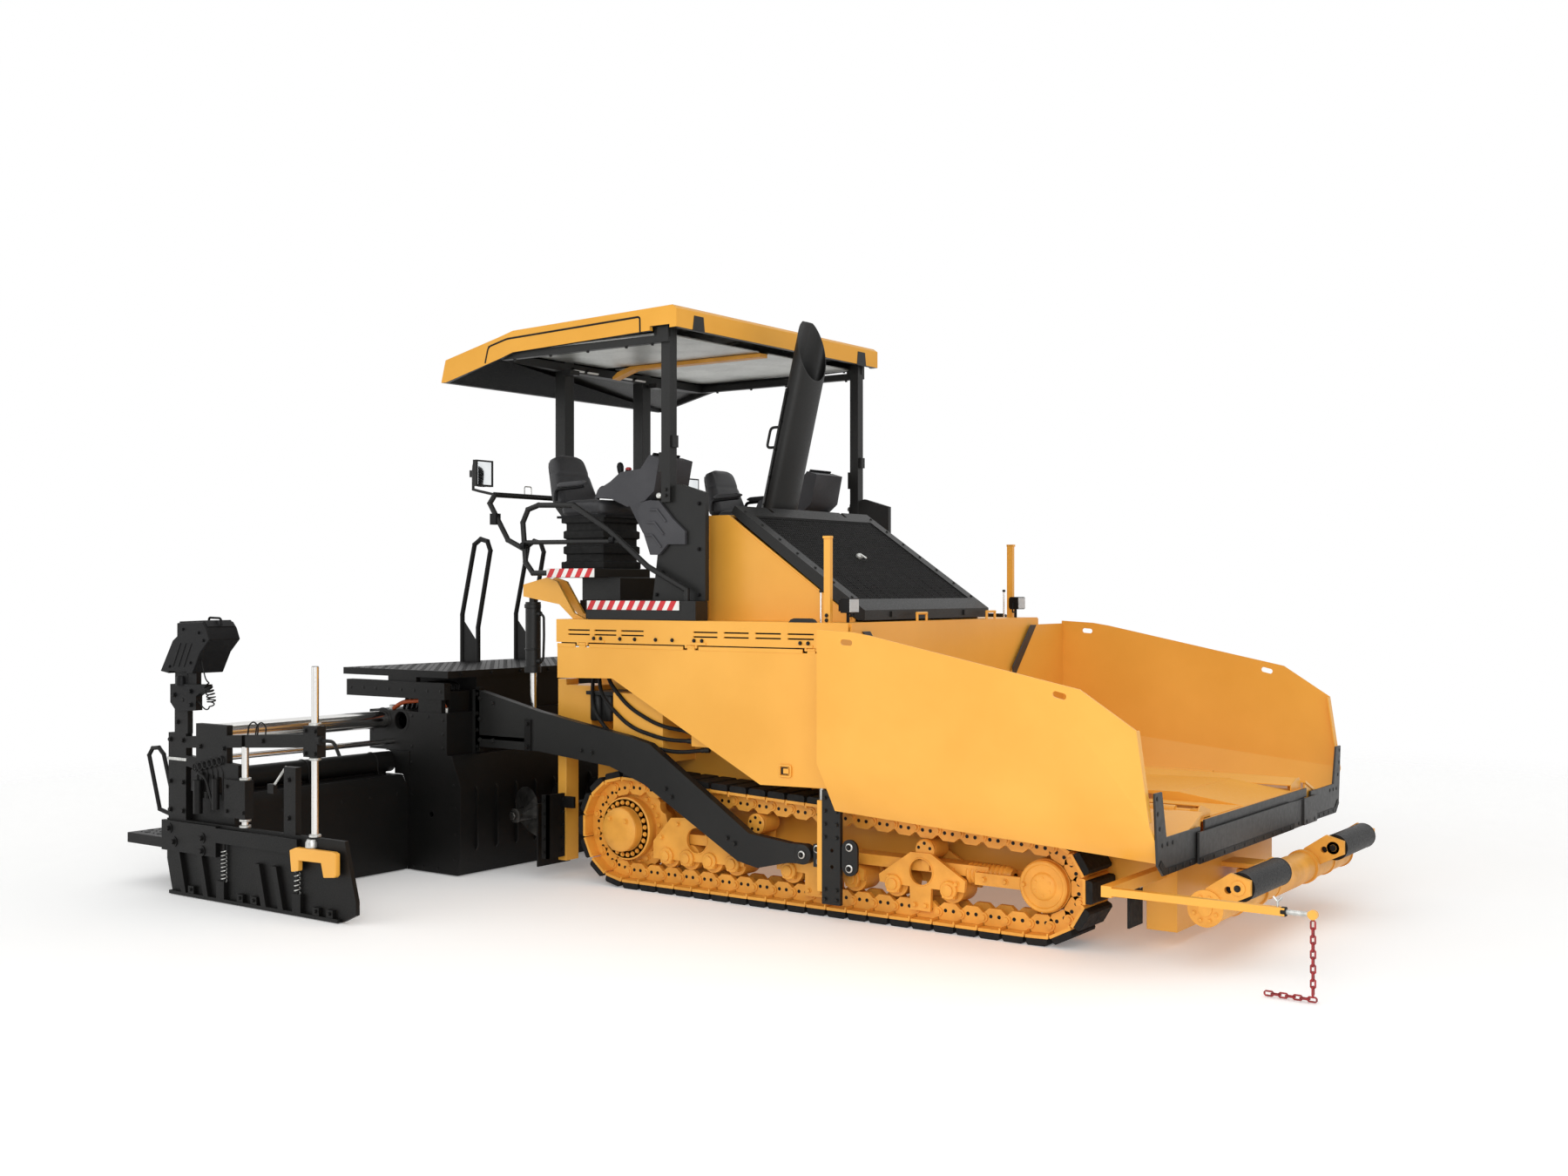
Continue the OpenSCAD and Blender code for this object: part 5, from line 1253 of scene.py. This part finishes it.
def screed_fittings():
    """Screws, seals, end plates, hoses, ribs and treads of the main screed"""
    dark, lugs, hoses, bright = (bmesh.new() for _ in range(4))
    end = SCREED_HALF
    end_screws = [(-2.18, 0.12), (-2.17, 0.3), (-2.17, 0.48), (-2.19, 0.64), (-2.35, 0.04), (-2.5, 0.04),
                  (-2.6, 0.04), (-2.63, 0.3), (-2.63, 0.55), (-2.63, 0.78), (-2.3, 0.9), (-2.3, 1.0),
                  (-2.3, 1.1), (-2.45, 1.12), (-3.05, 0.9), (-3.05, 1.0), (-3.05, 1.12), (-2.62, 1.12),
                  (-2.62, 0.9)]
    seal = [(0.066, 0.0), (0.088, 0.0), (0.088, 0.002), (0.066, 0.002)]
    for s in (-1, 1):
        out = (0, s, 0)
        for x, z in end_screws:
            stud(dark, (x, s * end, z), out)
        # Seal rings of the guide tubes
        for x in (-2.93, -2.74):
            lathe(dark, (x, s * end, 1.08), out, seal, 28, True)
        # End plate that the extender and its heavy tube slide past
        plate = [(-2.645, 0.006), (-2.667, 0.006), (-2.6572, 0.118), (-2.6572, 0.6), (-2.717, 0.6925),
                 (-2.8, 0.6925)]
        plate += [(TUBE_X + 0.084 * math.cos(a), TUBE_Z + 0.084 * math.sin(a))
                  for a in (math.radians(turn) for turn in range(-20, 101, 20))]
        plate += [(-2.9, 0.861), (-2.645, 0.861)]
        prism(dark, plate, s * (end - 0.015), s * (end + 0.0045))
        # Bolts of the walkway's side beam
        for k in range(8):
            stud(dark, (-3.29 + 0.138 * k, s * end, 1.305), out)
        # Control block, hoses and bracket beside the walkway
        box(dark, (-2.52, s * 1.2, 1.15), (-2.34, s * 1.4, 1.3))
        for k in range(4):
            y = s * (1.23 + 0.045 * k)
            line = [(-2.43, y, 1.3), (-2.43, y, 1.345), (-2.58, y, 1.36), (-2.8, y, 1.3), (-2.86, y, 1.15)]
            tube(dark, bent(line, 0.06), 0.012, 8)
        line = [(-2.36, 1.42, 1.18), (-2.4, 1.43, 1.25), (-2.62, 1.435, 1.225), (-2.8, 1.43, 1.21),
                (-2.92, 1.42, 1.15)]
        tube(hoses, bent([(x, s * y, z) for x, y, z in line], 0.06), 0.016, 10)
        for x in (-2.36, -2.92):
            lathe(bright, (x, s * 1.42, 1.15), (0, 0, 1), [(0.024, 0.0), (0.024, 0.03), (0.019, 0.034)], 6)
        # Vertical ribs on the front face of the heated box
        for k in range(7):
            y = s * (0.15 + 0.2 * k)
            prism(dark, [(-2.12, 0.17), (-2.098, 0.2), (-2.098, 0.6), (-2.12, 0.63)], y - 0.008, y + 0.008)
    # Treads of the walkway
    step = 0.07
    for i in range(16):
        for j in range(42):
            x, y = WALK_REAR + 0.05 + step * i, -1.44 + step * j
            tread_lug(lugs, x, y, 0.016, 0.8 if (i + j) % 2 else -0.8, 1.4495, 1.452)
    # Bolts along the walkway's front edge
    for k in range(10):
        bolt(dark, (-2.27, -1.35 + 0.3 * k, 1.425), (1, 0, 0), 0.02)
    make("screed_bolts", dark, BLACK, "screed")
    make("walkway_treads", lugs, BLACK, "screed")
    make("screed_hoses", hoses, HOSE, "screed")
    make("screed_hose_nuts", bright, ZINC, "screed")


def spring(bm, x, y, z0, z1, radius, turns, wire):
    """An upright coil spring"""
    count = turns * 12
    points = []
    for k in range(count + 1):
        a = 2 * math.pi * k / 12
        points.append((x + radius * math.cos(a), y + radius * math.sin(a), z0 + (z1 - z0) * k / count))
    tube(bm, points, wire, 6)


def gate_fittings(side_name, side):
    """Springs, clamps, the yellow grip, levers, hoses and bolts of an end gate"""
    bright, dark, yellow = bmesh.new(), bmesh.new(), bmesh.new()
    body = "extender_" + side_name
    out = (0, side, 0)
    face = GATE_OUT - 0.03
    # Springs on their rods
    for x, z0, z1 in [(-2.671, 0.14, 0.34), (-1.932, 0.14, 0.38)]:
        y = side * (GATE_OUT - 0.012)
        spring(bright, x, y, z0, z1, 0.019, 8, 0.0036)
        rod(dark, (x, y, z0 - 0.02), (x, y, z1 + 0.06), 0.009, 12)
    # Collars of the jacks
    collar = [(0.034, 0.0), (0.038, 0.003), (0.038, 0.015), (0.034, 0.018)]
    for x, heights in ((LONG_JACK_X, (1.19, 0.5, 0.976)), (SHORT_JACK_X, (0.805, 0.5, 0.54))):
        for z in heights:
            lathe(bright, (x, side * JACK_Y, z), (0, 0, 1), collar, 24)
    lathe(dark, (LONG_JACK_X, side * JACK_Y, 1.556), (0, 0, 1), [(0.021, 0.0), (0.021, 0.003)], 20)
    # Yellow double grip at the foot of the long jack
    grip = [(-1.96, 0.415), (-1.901, 0.436), (-1.55, 0.439), (-1.522, 0.43), (-1.522, 0.301), (-1.535, 0.285),
            (-1.636, 0.274), (-1.66, 0.362), (-1.875, 0.357), (-1.875, 0.293), (-1.943, 0.28)]
    prism(yellow, grip, side * (GATE_OUT - 0.008), side * (GATE_OUT + 0.03))
    cone = [(0.04, 0.0), (0.04, 0.03), (0.03, 0.05)]
    lathe(bright, (LONG_JACK_X, side * (GATE_OUT - 0.02), 0.44), (0, 0, 1), cone, 20)
    # T handle on the clamp and the bright adjusting lever
    y = side * (GATE_OUT - 0.02)
    tube(dark, bent([(-1.74, y, 1.105), (-1.6, y, 1.105), (-1.545, y, 1.02)], 0.03), 0.011, 10)
    lathe(dark, (-1.74, y, 1.105), (1, 0, 0), [(0.03, 0.0), (0.03, 0.03), (0.02, 0.035)], 16)
    rod(bright, (-2.222, side * (face - 0.02), 0.782), (-2.092, side * (face - 0.02), 0.918), 0.008, 12)
    box(dark, (-2.26, side * (face - 0.035), 0.74), (-2.2, side * (face - 0.005), 0.8))
    # Bright clamp band on the post
    box(bright, (-3.312, side * (face + 0.006), 0.893), (-3.102, side * (face - 0.056), 0.912))
    # Bolts on the bars, post and clamps
    for x, z in [(-3.196, 0.354), (-2.891, 0.404), (-2.891, 0.32), (-3.25, 0.44)]:
        lathe(dark, (x, side * GATE_OUT, z), out, [(0.034, 0.0), (0.034, 0.006)], 24)
        bolt(dark, (x, side * (GATE_OUT + 0.004), z), out, 0.03)
    on_post = [(-3.28, 0.56), (-3.14, 0.56), (-3.28, 0.75), (-3.14, 0.75), (-3.28, 1.03), (-3.14, 1.03),
               (-3.2, 1.15), (-3.13, 1.3), (-2.95, 1.0), (-2.7, 1.0), (-2.3, 1.07), (-2.04, 0.6),
               (-2.04, 0.84)]
    for x, z in on_post:
        bolt(dark, (x, side * face, z), out, 0.024)
    on_clamps = [(-1.85, 1.02), (-1.85, 1.16), (-1.76, 1.02), (-1.76, 1.16), (-2.64, 0.6), (-2.64, 0.76),
                 (-2.47, 0.6)]
    for x, z in on_clamps:
        bolt(dark, (x, side * (GATE_OUT - 0.008), z), out, 0.02)
    # Slotted lugs along the runner
    for x in (-3.02, -2.5, -2.36, -1.75, -1.62):
        box(dark, (x - 0.03, side * face, 0.026), (x + 0.03, side * (GATE_OUT - 0.004), 0.075))
        bolt(dark, (x, side * (GATE_OUT - 0.004), 0.052), out, 0.018)
    # Valve block behind the post with its hoses
    box(dark, (-3.06, side * (face - 0.038), 0.7), (-2.76, side * (face - 0.005), 0.84))
    for k in range(5):
        x = -3.03 + 0.055 * k
        run = [(x, -0.02, 0.84), (x, -0.02, 0.885), (x + 0.06, -0.012, 0.9), (x + 0.1, 0.0, 0.84),
               (x + 0.09, -0.01, 0.66)]
        tube(dark, bent([(u, side * (face + v), w) for u, v, w in run], 0.03), 0.009, 8)
    # Row of cable coils, a clamp cylinder and its feed on the carrier plate
    for k in range(6):
        x, z = -2.99 + 0.052 * k, 0.86 + 0.012 * k
        ring = [(x + 0.026 * math.cos(a), side * (face + 0.012), z + 0.026 * math.sin(a))
                for a in (2 * math.pi * i / 16 for i in range(17))]
        tube(dark, ring, 0.006, 6)
    rod(dark, (-2.95, side * (face + 0.02), 0.56), (-2.95, side * (face + 0.02), 0.78), 0.03, 18)
    rod(dark, (-2.76, side * (face + 0.02), 0.6), (-2.76, side * (face + 0.02), 0.8), 0.024, 18)
    feed = [(-2.95, 0.02, 0.78), (-2.95, 0.025, 0.83), (-2.86, 0.025, 0.8), (-2.8, 0.025, 0.66),
            (-2.76, 0.02, 0.6)]
    tube(dark, bent([(u, side * (face + v), w) for u, v, w in feed], 0.04), 0.009, 8)
    # Cable loops on top of the arm
    for x in (-2.42, -2.34):
        loop = [(-0.06, 1.09), (-0.05, 1.16), (0.0, 1.19), (0.05, 1.16), (0.04, 1.1)]
        tube(dark, bent([(x + u, side * (face - 0.02), w) for u, w in loop], 0.04), 0.005, 8)
    make("gate_springs_" + side_name, bright, ZINC, body)
    make("gate_bolts_" + side_name, dark, BLACK, body)
    make("gate_grip_" + side_name, yellow, YELLOW, body, 0.006)


def extender_treads(side_name, side):
    """Treads on the step, the heavy tube's straps and plug, and screws on the front face"""
    lugs = bmesh.new()
    step = 0.07
    for i in range(9):
        for j in range(19):
            x, y = -3.87 + step * i, side * (1.6 + step * j)
            tread_lug(lugs, x, y, 0.02, 0.8 if (i + j) % 2 else -0.8, 0.3395, 0.3435)
    for y in (1.66, 2.27, 2.92):
        arc = [(TUBE_X + 0.076 * math.cos(a), side * y, TUBE_Z + 0.076 * math.sin(a))
               for a in (math.pi * k / 12 for k in range(13))]
        arc = [(TUBE_X + 0.076, side * y, 0.72)] + arc + [(TUBE_X - 0.076, side * y, 0.72)]
        tube(lugs, arc, 0.005, 8)
    # Plug in the tube's inner end and the packing strip under the tube
    plug = [(0.0745, 0.0), (0.0745, 0.046), (0.06, 0.05)]
    lathe(lugs, (TUBE_X, side * 1.534, TUBE_Z), (0, -side, 0), plug, 28)
    box(lugs, (TUBE_X - 0.02, side * 1.535, 0.6885), (TUBE_X + 0.02, side * 2.9, 0.7035))
    for k in range(6):
        stud(lugs, (-2.658, side * (1.6 + 0.25 * k), 0.56), (1, 0, 0))
    make("extender_treads_" + side_name, lugs, BLACK, "extender_" + side_name)


def remote_box(side_name, side):
    """Lid, carrying loop, stop button, switches, display and clamp of the screed's remote box"""
    grey, dark, red, glass = (bmesh.new() for _ in range(4))
    body = "extender_" + side_name
    y0, y1 = side * 2.835, side * 3.045
    lid = [(-3.166, 1.8), (-3.16, 1.822), (-2.895, 1.832), (-2.852, 1.79), (-2.87, 1.775), (-2.9, 1.812)]
    prism(grey, lid, y0, y1)
    loop = [(-2.99, 1.815), (-2.985, 1.848), (-2.86, 1.845), (-2.85, 1.8)]
    tube(dark, bent([(u, side * 2.94, v) for u, v in loop], 0.02), 0.008, 10)
    # Operating face, slanted to the rear
    way = Vector((-0.137, 0, -0.208)).normalized()
    out = Vector((-0.208, 0, 0.137)).normalized()
    corner = Vector((-3.217, 0, 1.694))
    button = Vector((-3.192, side * 2.9, 1.709))
    lathe(dark, button, (-0.52, 0, 0.85), [(0.026, -0.01), (0.026, 0.006)], 18)
    lathe(red, button, (-0.52, 0, 0.85), [(0.016, 0.004), (0.025, 0.012), (0.025, 0.022), (0.013, 0.03)], 20)
    for i in range(3):
        for j in range(4):
            at = corner + way * (0.12 + 0.045 * i) + Vector((0, side * (2.86 + 0.055 * j), 0))
            lathe(dark, at, out, [(0.013, -0.004), (0.013, 0.005), (0.007, 0.007), (0.007, 0.024)], 12)
    a, b = corner + way * 0.02, corner + way * 0.09
    panel = [a + out * 0.002, b + out * 0.002, b - out * 0.004, a - out * 0.004]
    skin(glass, [[p + Vector((0, y, 0)) for p in panel] for y in (side * 2.87, side * 3.0)])
    # Ribs moulded into the outer side
    rib = [(-3.22, 1.52), (-3.13, 1.68), (-3.12, 1.68), (-3.205, 1.52)]
    for k in range(3):
        prism(grey, [(u + 0.06 * k, v) for u, v in rib], side * 3.058, side * 3.064)
    for x, z in [(-2.93, 1.75), (-3.1, 1.77), (-3.02, 1.55), (-3.25, 1.52), (-2.88, 1.7)]:
        bolt(dark, (x, side * 3.06, z), (0, side, 0), 0.016)
    # Neck, and the bracket that clamps it on the pole
    clamp = [(-3.268, 1.402), (-2.875, 1.41), (-2.875, 1.385), (-2.985, 1.33), (-2.985, 1.235), (-3.2, 1.22),
             (-3.268, 1.28)]
    prism(dark, clamp, side * 2.992, side * 3.042)
    box(dark, (-3.085, side * 2.992, 1.4), (-2.995, side * 3.03, 1.56))
    for x, z in [(-3.22, 1.33), (-3.04, 1.36), (-3.04, 1.27)]:
        bolt(dark, (x, side * 3.042, z), (0, side, 0), 0.024)
    # Swivel under the box
    lathe(dark, (-3.16, side * 3.03, 1.395), (0, 0, 1), [(0.036, 0.0), (0.036, 0.03), (0.03, 0.06)], 24)
    make("remote_lid_" + side_name, grey, DARK, body, 0.003)
    make("remote_switches_" + side_name, dark, DARK, body)
    make("remote_stop_" + side_name, red, RED, body)
    make("remote_display_" + side_name, glass, SCREEN, body)


def curly_cord():
    """Coiled lead of the right remote box, from the box down and back to its bracket"""
    coil_r, wire, turns, steps = 0.026, 0.009, 7.5, 440
    y = -3.026
    route = [(-2.945, 1.568), (-2.93, 1.52), (-2.91, 1.465), (-2.885, 1.41), (-2.855, 1.36), (-2.84, 1.31),
             (-2.853, 1.265), (-2.89, 1.245), (-2.93, 1.258), (-2.965, 1.285), (-3.01, 1.302), (-3.075, 1.31)]
    line = [Vector((x, y, z)) for x, z in route]

    def on_line(t):
        place = t * (len(line) - 1)
        k = min(int(place), len(line) - 2)
        u = place - k
        a, b, c, d = (line[max(0, min(len(line) - 1, k + j))] for j in (-1, 0, 1, 2))
        return b + ((c - a) * u + (2 * a - 5 * b + 4 * c - d) * u ** 2 + (3 * b - a - 3 * c + d) * u ** 3) / 2

    # The lead is plain at both ends, and its coil opens and closes over a short ramp of the route
    first, last, ramp = 0.19, 0.6, 0.14
    angle, points = 0.0, []
    for k in range(steps + 1):
        t = k / steps
        rise = max(0.0, min(1.0, (t - first) / ramp, (last - t) / ramp))
        open_share = rise * rise * (3 - 2 * rise)
        way = (on_line(min(1.0, t + 0.002)) - on_line(max(0.0, t - 0.002))).normalized()
        across = Vector((0, 1, 0))
        up = way.cross(across)
        angle += 2 * math.pi * turns / (last - first - ramp) / steps * open_share ** 2
        points.append(on_line(t) + (across * math.cos(angle) + up * math.sin(angle)) * coil_r * open_share)
    bm = bmesh.new()
    tube(bm, points, wire / 2, 8)
    cord = make("remote_cord_right", bm, RUBBER, "extender_right")


def retaining_plate(side_name, side):
    """Black channel that holds the material in front of the auger's outer end"""
    bm = bmesh.new()
    near, far = side * 1.262, side * 1.09
    box(bm, (-1.522, near, 0.155), (-1.502, far, 0.6))
    box(bm, (-1.562, near, 0.155), (-1.502, side * 1.244, 0.6))
    box(bm, (-1.502, far, 0.5), (-1.4, far + side * 0.02, 0.58))
    for k in range(5):
        z = 0.2 + 0.09 * k
        bolt(bm, (-1.54, near, z), (0, side, 0), 0.018)
        bolt(bm, (-1.502, side * 1.11, z), (1, 0, 0), 0.018)
    make("retaining_plate_" + side_name, bm, BLACK, "tractor")


def arm_frame(side_name, side):
    """Open frame that ties the tow arm's rear end to the screed, with its strut and clamp"""
    bm = bmesh.new()
    out = side * ARM_OUT
    box(bm, (-2.23, out, 0.86), (-2.19, out - side * 0.05, 1.33))
    box(bm, (-2.19, out, 0.958), (-1.74, out - side * 0.05, 0.985))
    box(bm, (-1.73, out + side * 0.012, 0.9), (-1.67, out, 1.12))
    for z in (0.93, 1.09):
        bolt(bm, (-1.7, out + side * 0.012, z), (0, side, 0), 0.024)
    for z in (0.9, 1.02, 1.14, 1.28):
        bolt(bm, (-2.21, out, z), (0, side, 0), 0.02)
    make("arm_frame_" + side_name, bm, BLACK, "screed")


def auger_nut(side_name, side):
    """Collar and nut on an auger's outer end"""
    bm = bmesh.new()
    at = (AUGER_X, side * 1.24, AUGER_Z)
    lathe(bm, at, (0, side, 0), [(0.05, -0.01), (0.05, 0.012), (0.04, 0.016)], 24)
    lathe(bm, at, (0, side, 0), [(0.03, 0.01), (0.03, 0.035), (0.024, 0.04)], 6)
    make("auger_nut_" + side_name, bm, STEEL, "auger_" + side_name)


def lift_cylinder_bands(side_name, side):
    """Bands, ports and feed pipe of a lift cylinder"""
    bm = bmesh.new()
    y = side * (BODY_HALF - 0.225)
    for z, r, h in [(1.436, 0.06, 0.05), (1.9, 0.06, 0.03), (1.6, 0.058, 0.012)]:
        profile = [(0.045, 0.0), (r - 0.003, 0.0), (r, 0.003), (r, h - 0.003), (r - 0.003, h), (0.045, h)]
        lathe(bm, (LIFT_X, y, z), (0, 0, 1), profile, 28, True)
    for z in (1.52, 1.86):
        lathe(bm, (LIFT_X + 0.05, y, z), (1, 0, 0), [(0.018, 0.0), (0.018, 0.03), (0.012, 0.034)], 12)
    line = [(-1.765, y, 1.86), (-1.74, y, 1.84), (-1.738, y, 1.7), (-1.745, y, 1.54), (-1.765, y, 1.52)]
    tube(bm, bent(line, 0.03), 0.009, 8)
    make("lift_bands_" + side_name, bm, CHARCOAL, "lift_barrels")


# Stage, light and camera

def stage():
    """Pale round floor that keeps the shadow"""
    floor = bmesh.new()
    lathe(floor, (0, 0, -0.03), (0, 0, 1), [(60.0, 0.0), (60.0, 0.0285)], 96)
    mesh = bpy.data.meshes.new("floor")
    floor.to_mesh(mesh)
    floor.free()
    material, tree, shader, place = begin("studio_floor_painted")
    speck = add(tree, "ShaderNodeTexNoise", {}, {"Vector": place, "Scale": 3.0, "Detail": 2.0})
    tone = add(tree, "ShaderNodeMix", {"data_type": "RGBA"},
               {0: speck.outputs[0], 6: linear("FBFBFA"), 7: linear("F8F8F7")})
    tree.links.new(tone.outputs[2], shader.inputs["Base Color"])
    shader.inputs["Roughness"].default_value = 0.9
    shader.inputs["Emission Color"].default_value = linear("FFFFFF")
    shader.inputs["Emission Strength"].default_value = 0.17
    # Far from the object the floor fades into the white background
    far = add(tree, "ShaderNodeVectorMath", {"operation": "LENGTH"}, {0: place})
    fade = add(tree, "ShaderNodeMapRange", {}, {0: far.outputs["Value"], 1: 5.0, 2: 12.0})
    clear = add(tree, "ShaderNodeBsdfTransparent", {}, {})
    blend = add(tree, "ShaderNodeMixShader", {},
                {0: fade.outputs[0], 1: shader.outputs[0], 2: clear.outputs[0]})
    tree.links.new(blend.outputs[0], tree.nodes["Material Output"].inputs[0])
    mesh.materials.append(material)
    ground = bpy.data.objects.new("floor", mesh)
    bpy.context.scene.collection.objects.link(ground)


def light():
    """White surroundings, a soft box beside the camera and two broad lamps"""
    world = bpy.data.worlds.new("studio")
    bpy.context.scene.world = world
    world.use_nodes = True
    tree = world.node_tree
    back = tree.nodes["Background"]
    back.inputs["Color"].default_value = linear("FFFFFF")
    seen = add(tree, "ShaderNodeLightPath", {}, {})
    sharp = add(tree, "ShaderNodeMath", {"operation": "MAXIMUM"},
                {0: seen.outputs["Is Camera Ray"], 1: seen.outputs["Is Glossy Ray"]})
    either = add(tree, "ShaderNodeMath", {"operation": "MAXIMUM"},
                 {0: sharp.outputs[0], 1: seen.outputs["Is Transmission Ray"]})
    level = add(tree, "ShaderNodeMapRange", {}, {0: either.outputs[0], 3: 0.66, 4: 1.0})
    tree.links.new(level.outputs[0], back.inputs["Strength"])
    soft = bpy.data.lights.new("soft_box", "AREA")
    soft.energy = 260.0
    soft.size = 4.5
    holder = bpy.data.objects.new("soft_box", soft)
    holder.location = (5.0, -8.6, 4.0)
    aim = Vector(holder.location) - Vector((0.4, -0.6, 1.2))
    holder.rotation_euler = aim.to_track_quat("Z", "Y").to_euler()
    bpy.context.scene.collection.objects.link(holder)
    lamps = [("fill", (-0.6, -0.8, 0.5), 0.4, 60), ("top", (0.2, 0.2, 1.0), 0.3, 60)]
    for name, way, power, spread in lamps:
        lamp = bpy.data.lights.new(name, "SUN")
        lamp.energy = power
        lamp.angle = math.radians(spread)
        holder = bpy.data.objects.new(name, lamp)
        holder.rotation_euler = Vector(way).to_track_quat("Z", "Y").to_euler()
        bpy.context.scene.collection.objects.link(holder)


def camera():
    """The photograph's camera"""
    lens = bpy.data.cameras.new("camera")
    lens.lens = 37.435
    lens.sensor_width = 36.0
    lens.clip_end = 300.0
    holder = bpy.data.objects.new("camera", lens)
    holder.location = (6.4146, -9.5773, 2.039)
    holder.rotation_euler = (math.radians(90.03), 0.0, math.radians(35.354))
    bpy.context.scene.collection.objects.link(holder)
    bpy.context.scene.camera = holder


bpy.context.scene.view_settings.view_transform = "Standard"
camera()
light()
stage()
dress_solids()
for side_name, side in SIDES.items():
    track(side_name, side)
    running_gear(side_name, side)
    tow_point(side_name, side)
    tow_arm_bolts(side_name, side)
    door_fittings(side_name, side)
    deck_fittings(side_name, side)
    hoses_behind_door(side_name, side)
    platform_boards(side_name, side)
    seat(side_name, side)
    console_controls(side_name, side)
    rail_fittings(side_name, side)
    work_lamp(side_name, side)
    wing_fittings(side_name, side)
    gate_fittings(side_name, side)
    extender_treads(side_name, side)
    remote_box(side_name, side)
    auger_nut(side_name, side)
    retaining_plate(side_name, side)
    arm_frame(side_name, side)
    lift_cylinder_bands(side_name, side)
hood_grille()
housing_fittings()
housing_rail()
exhaust_duct()
stack_fittings()
floor_treads()
canopy_fittings()
hopper_plates()
push_beam_fittings()
guide_rod_fittings()
screed_fittings()
curly_cord()
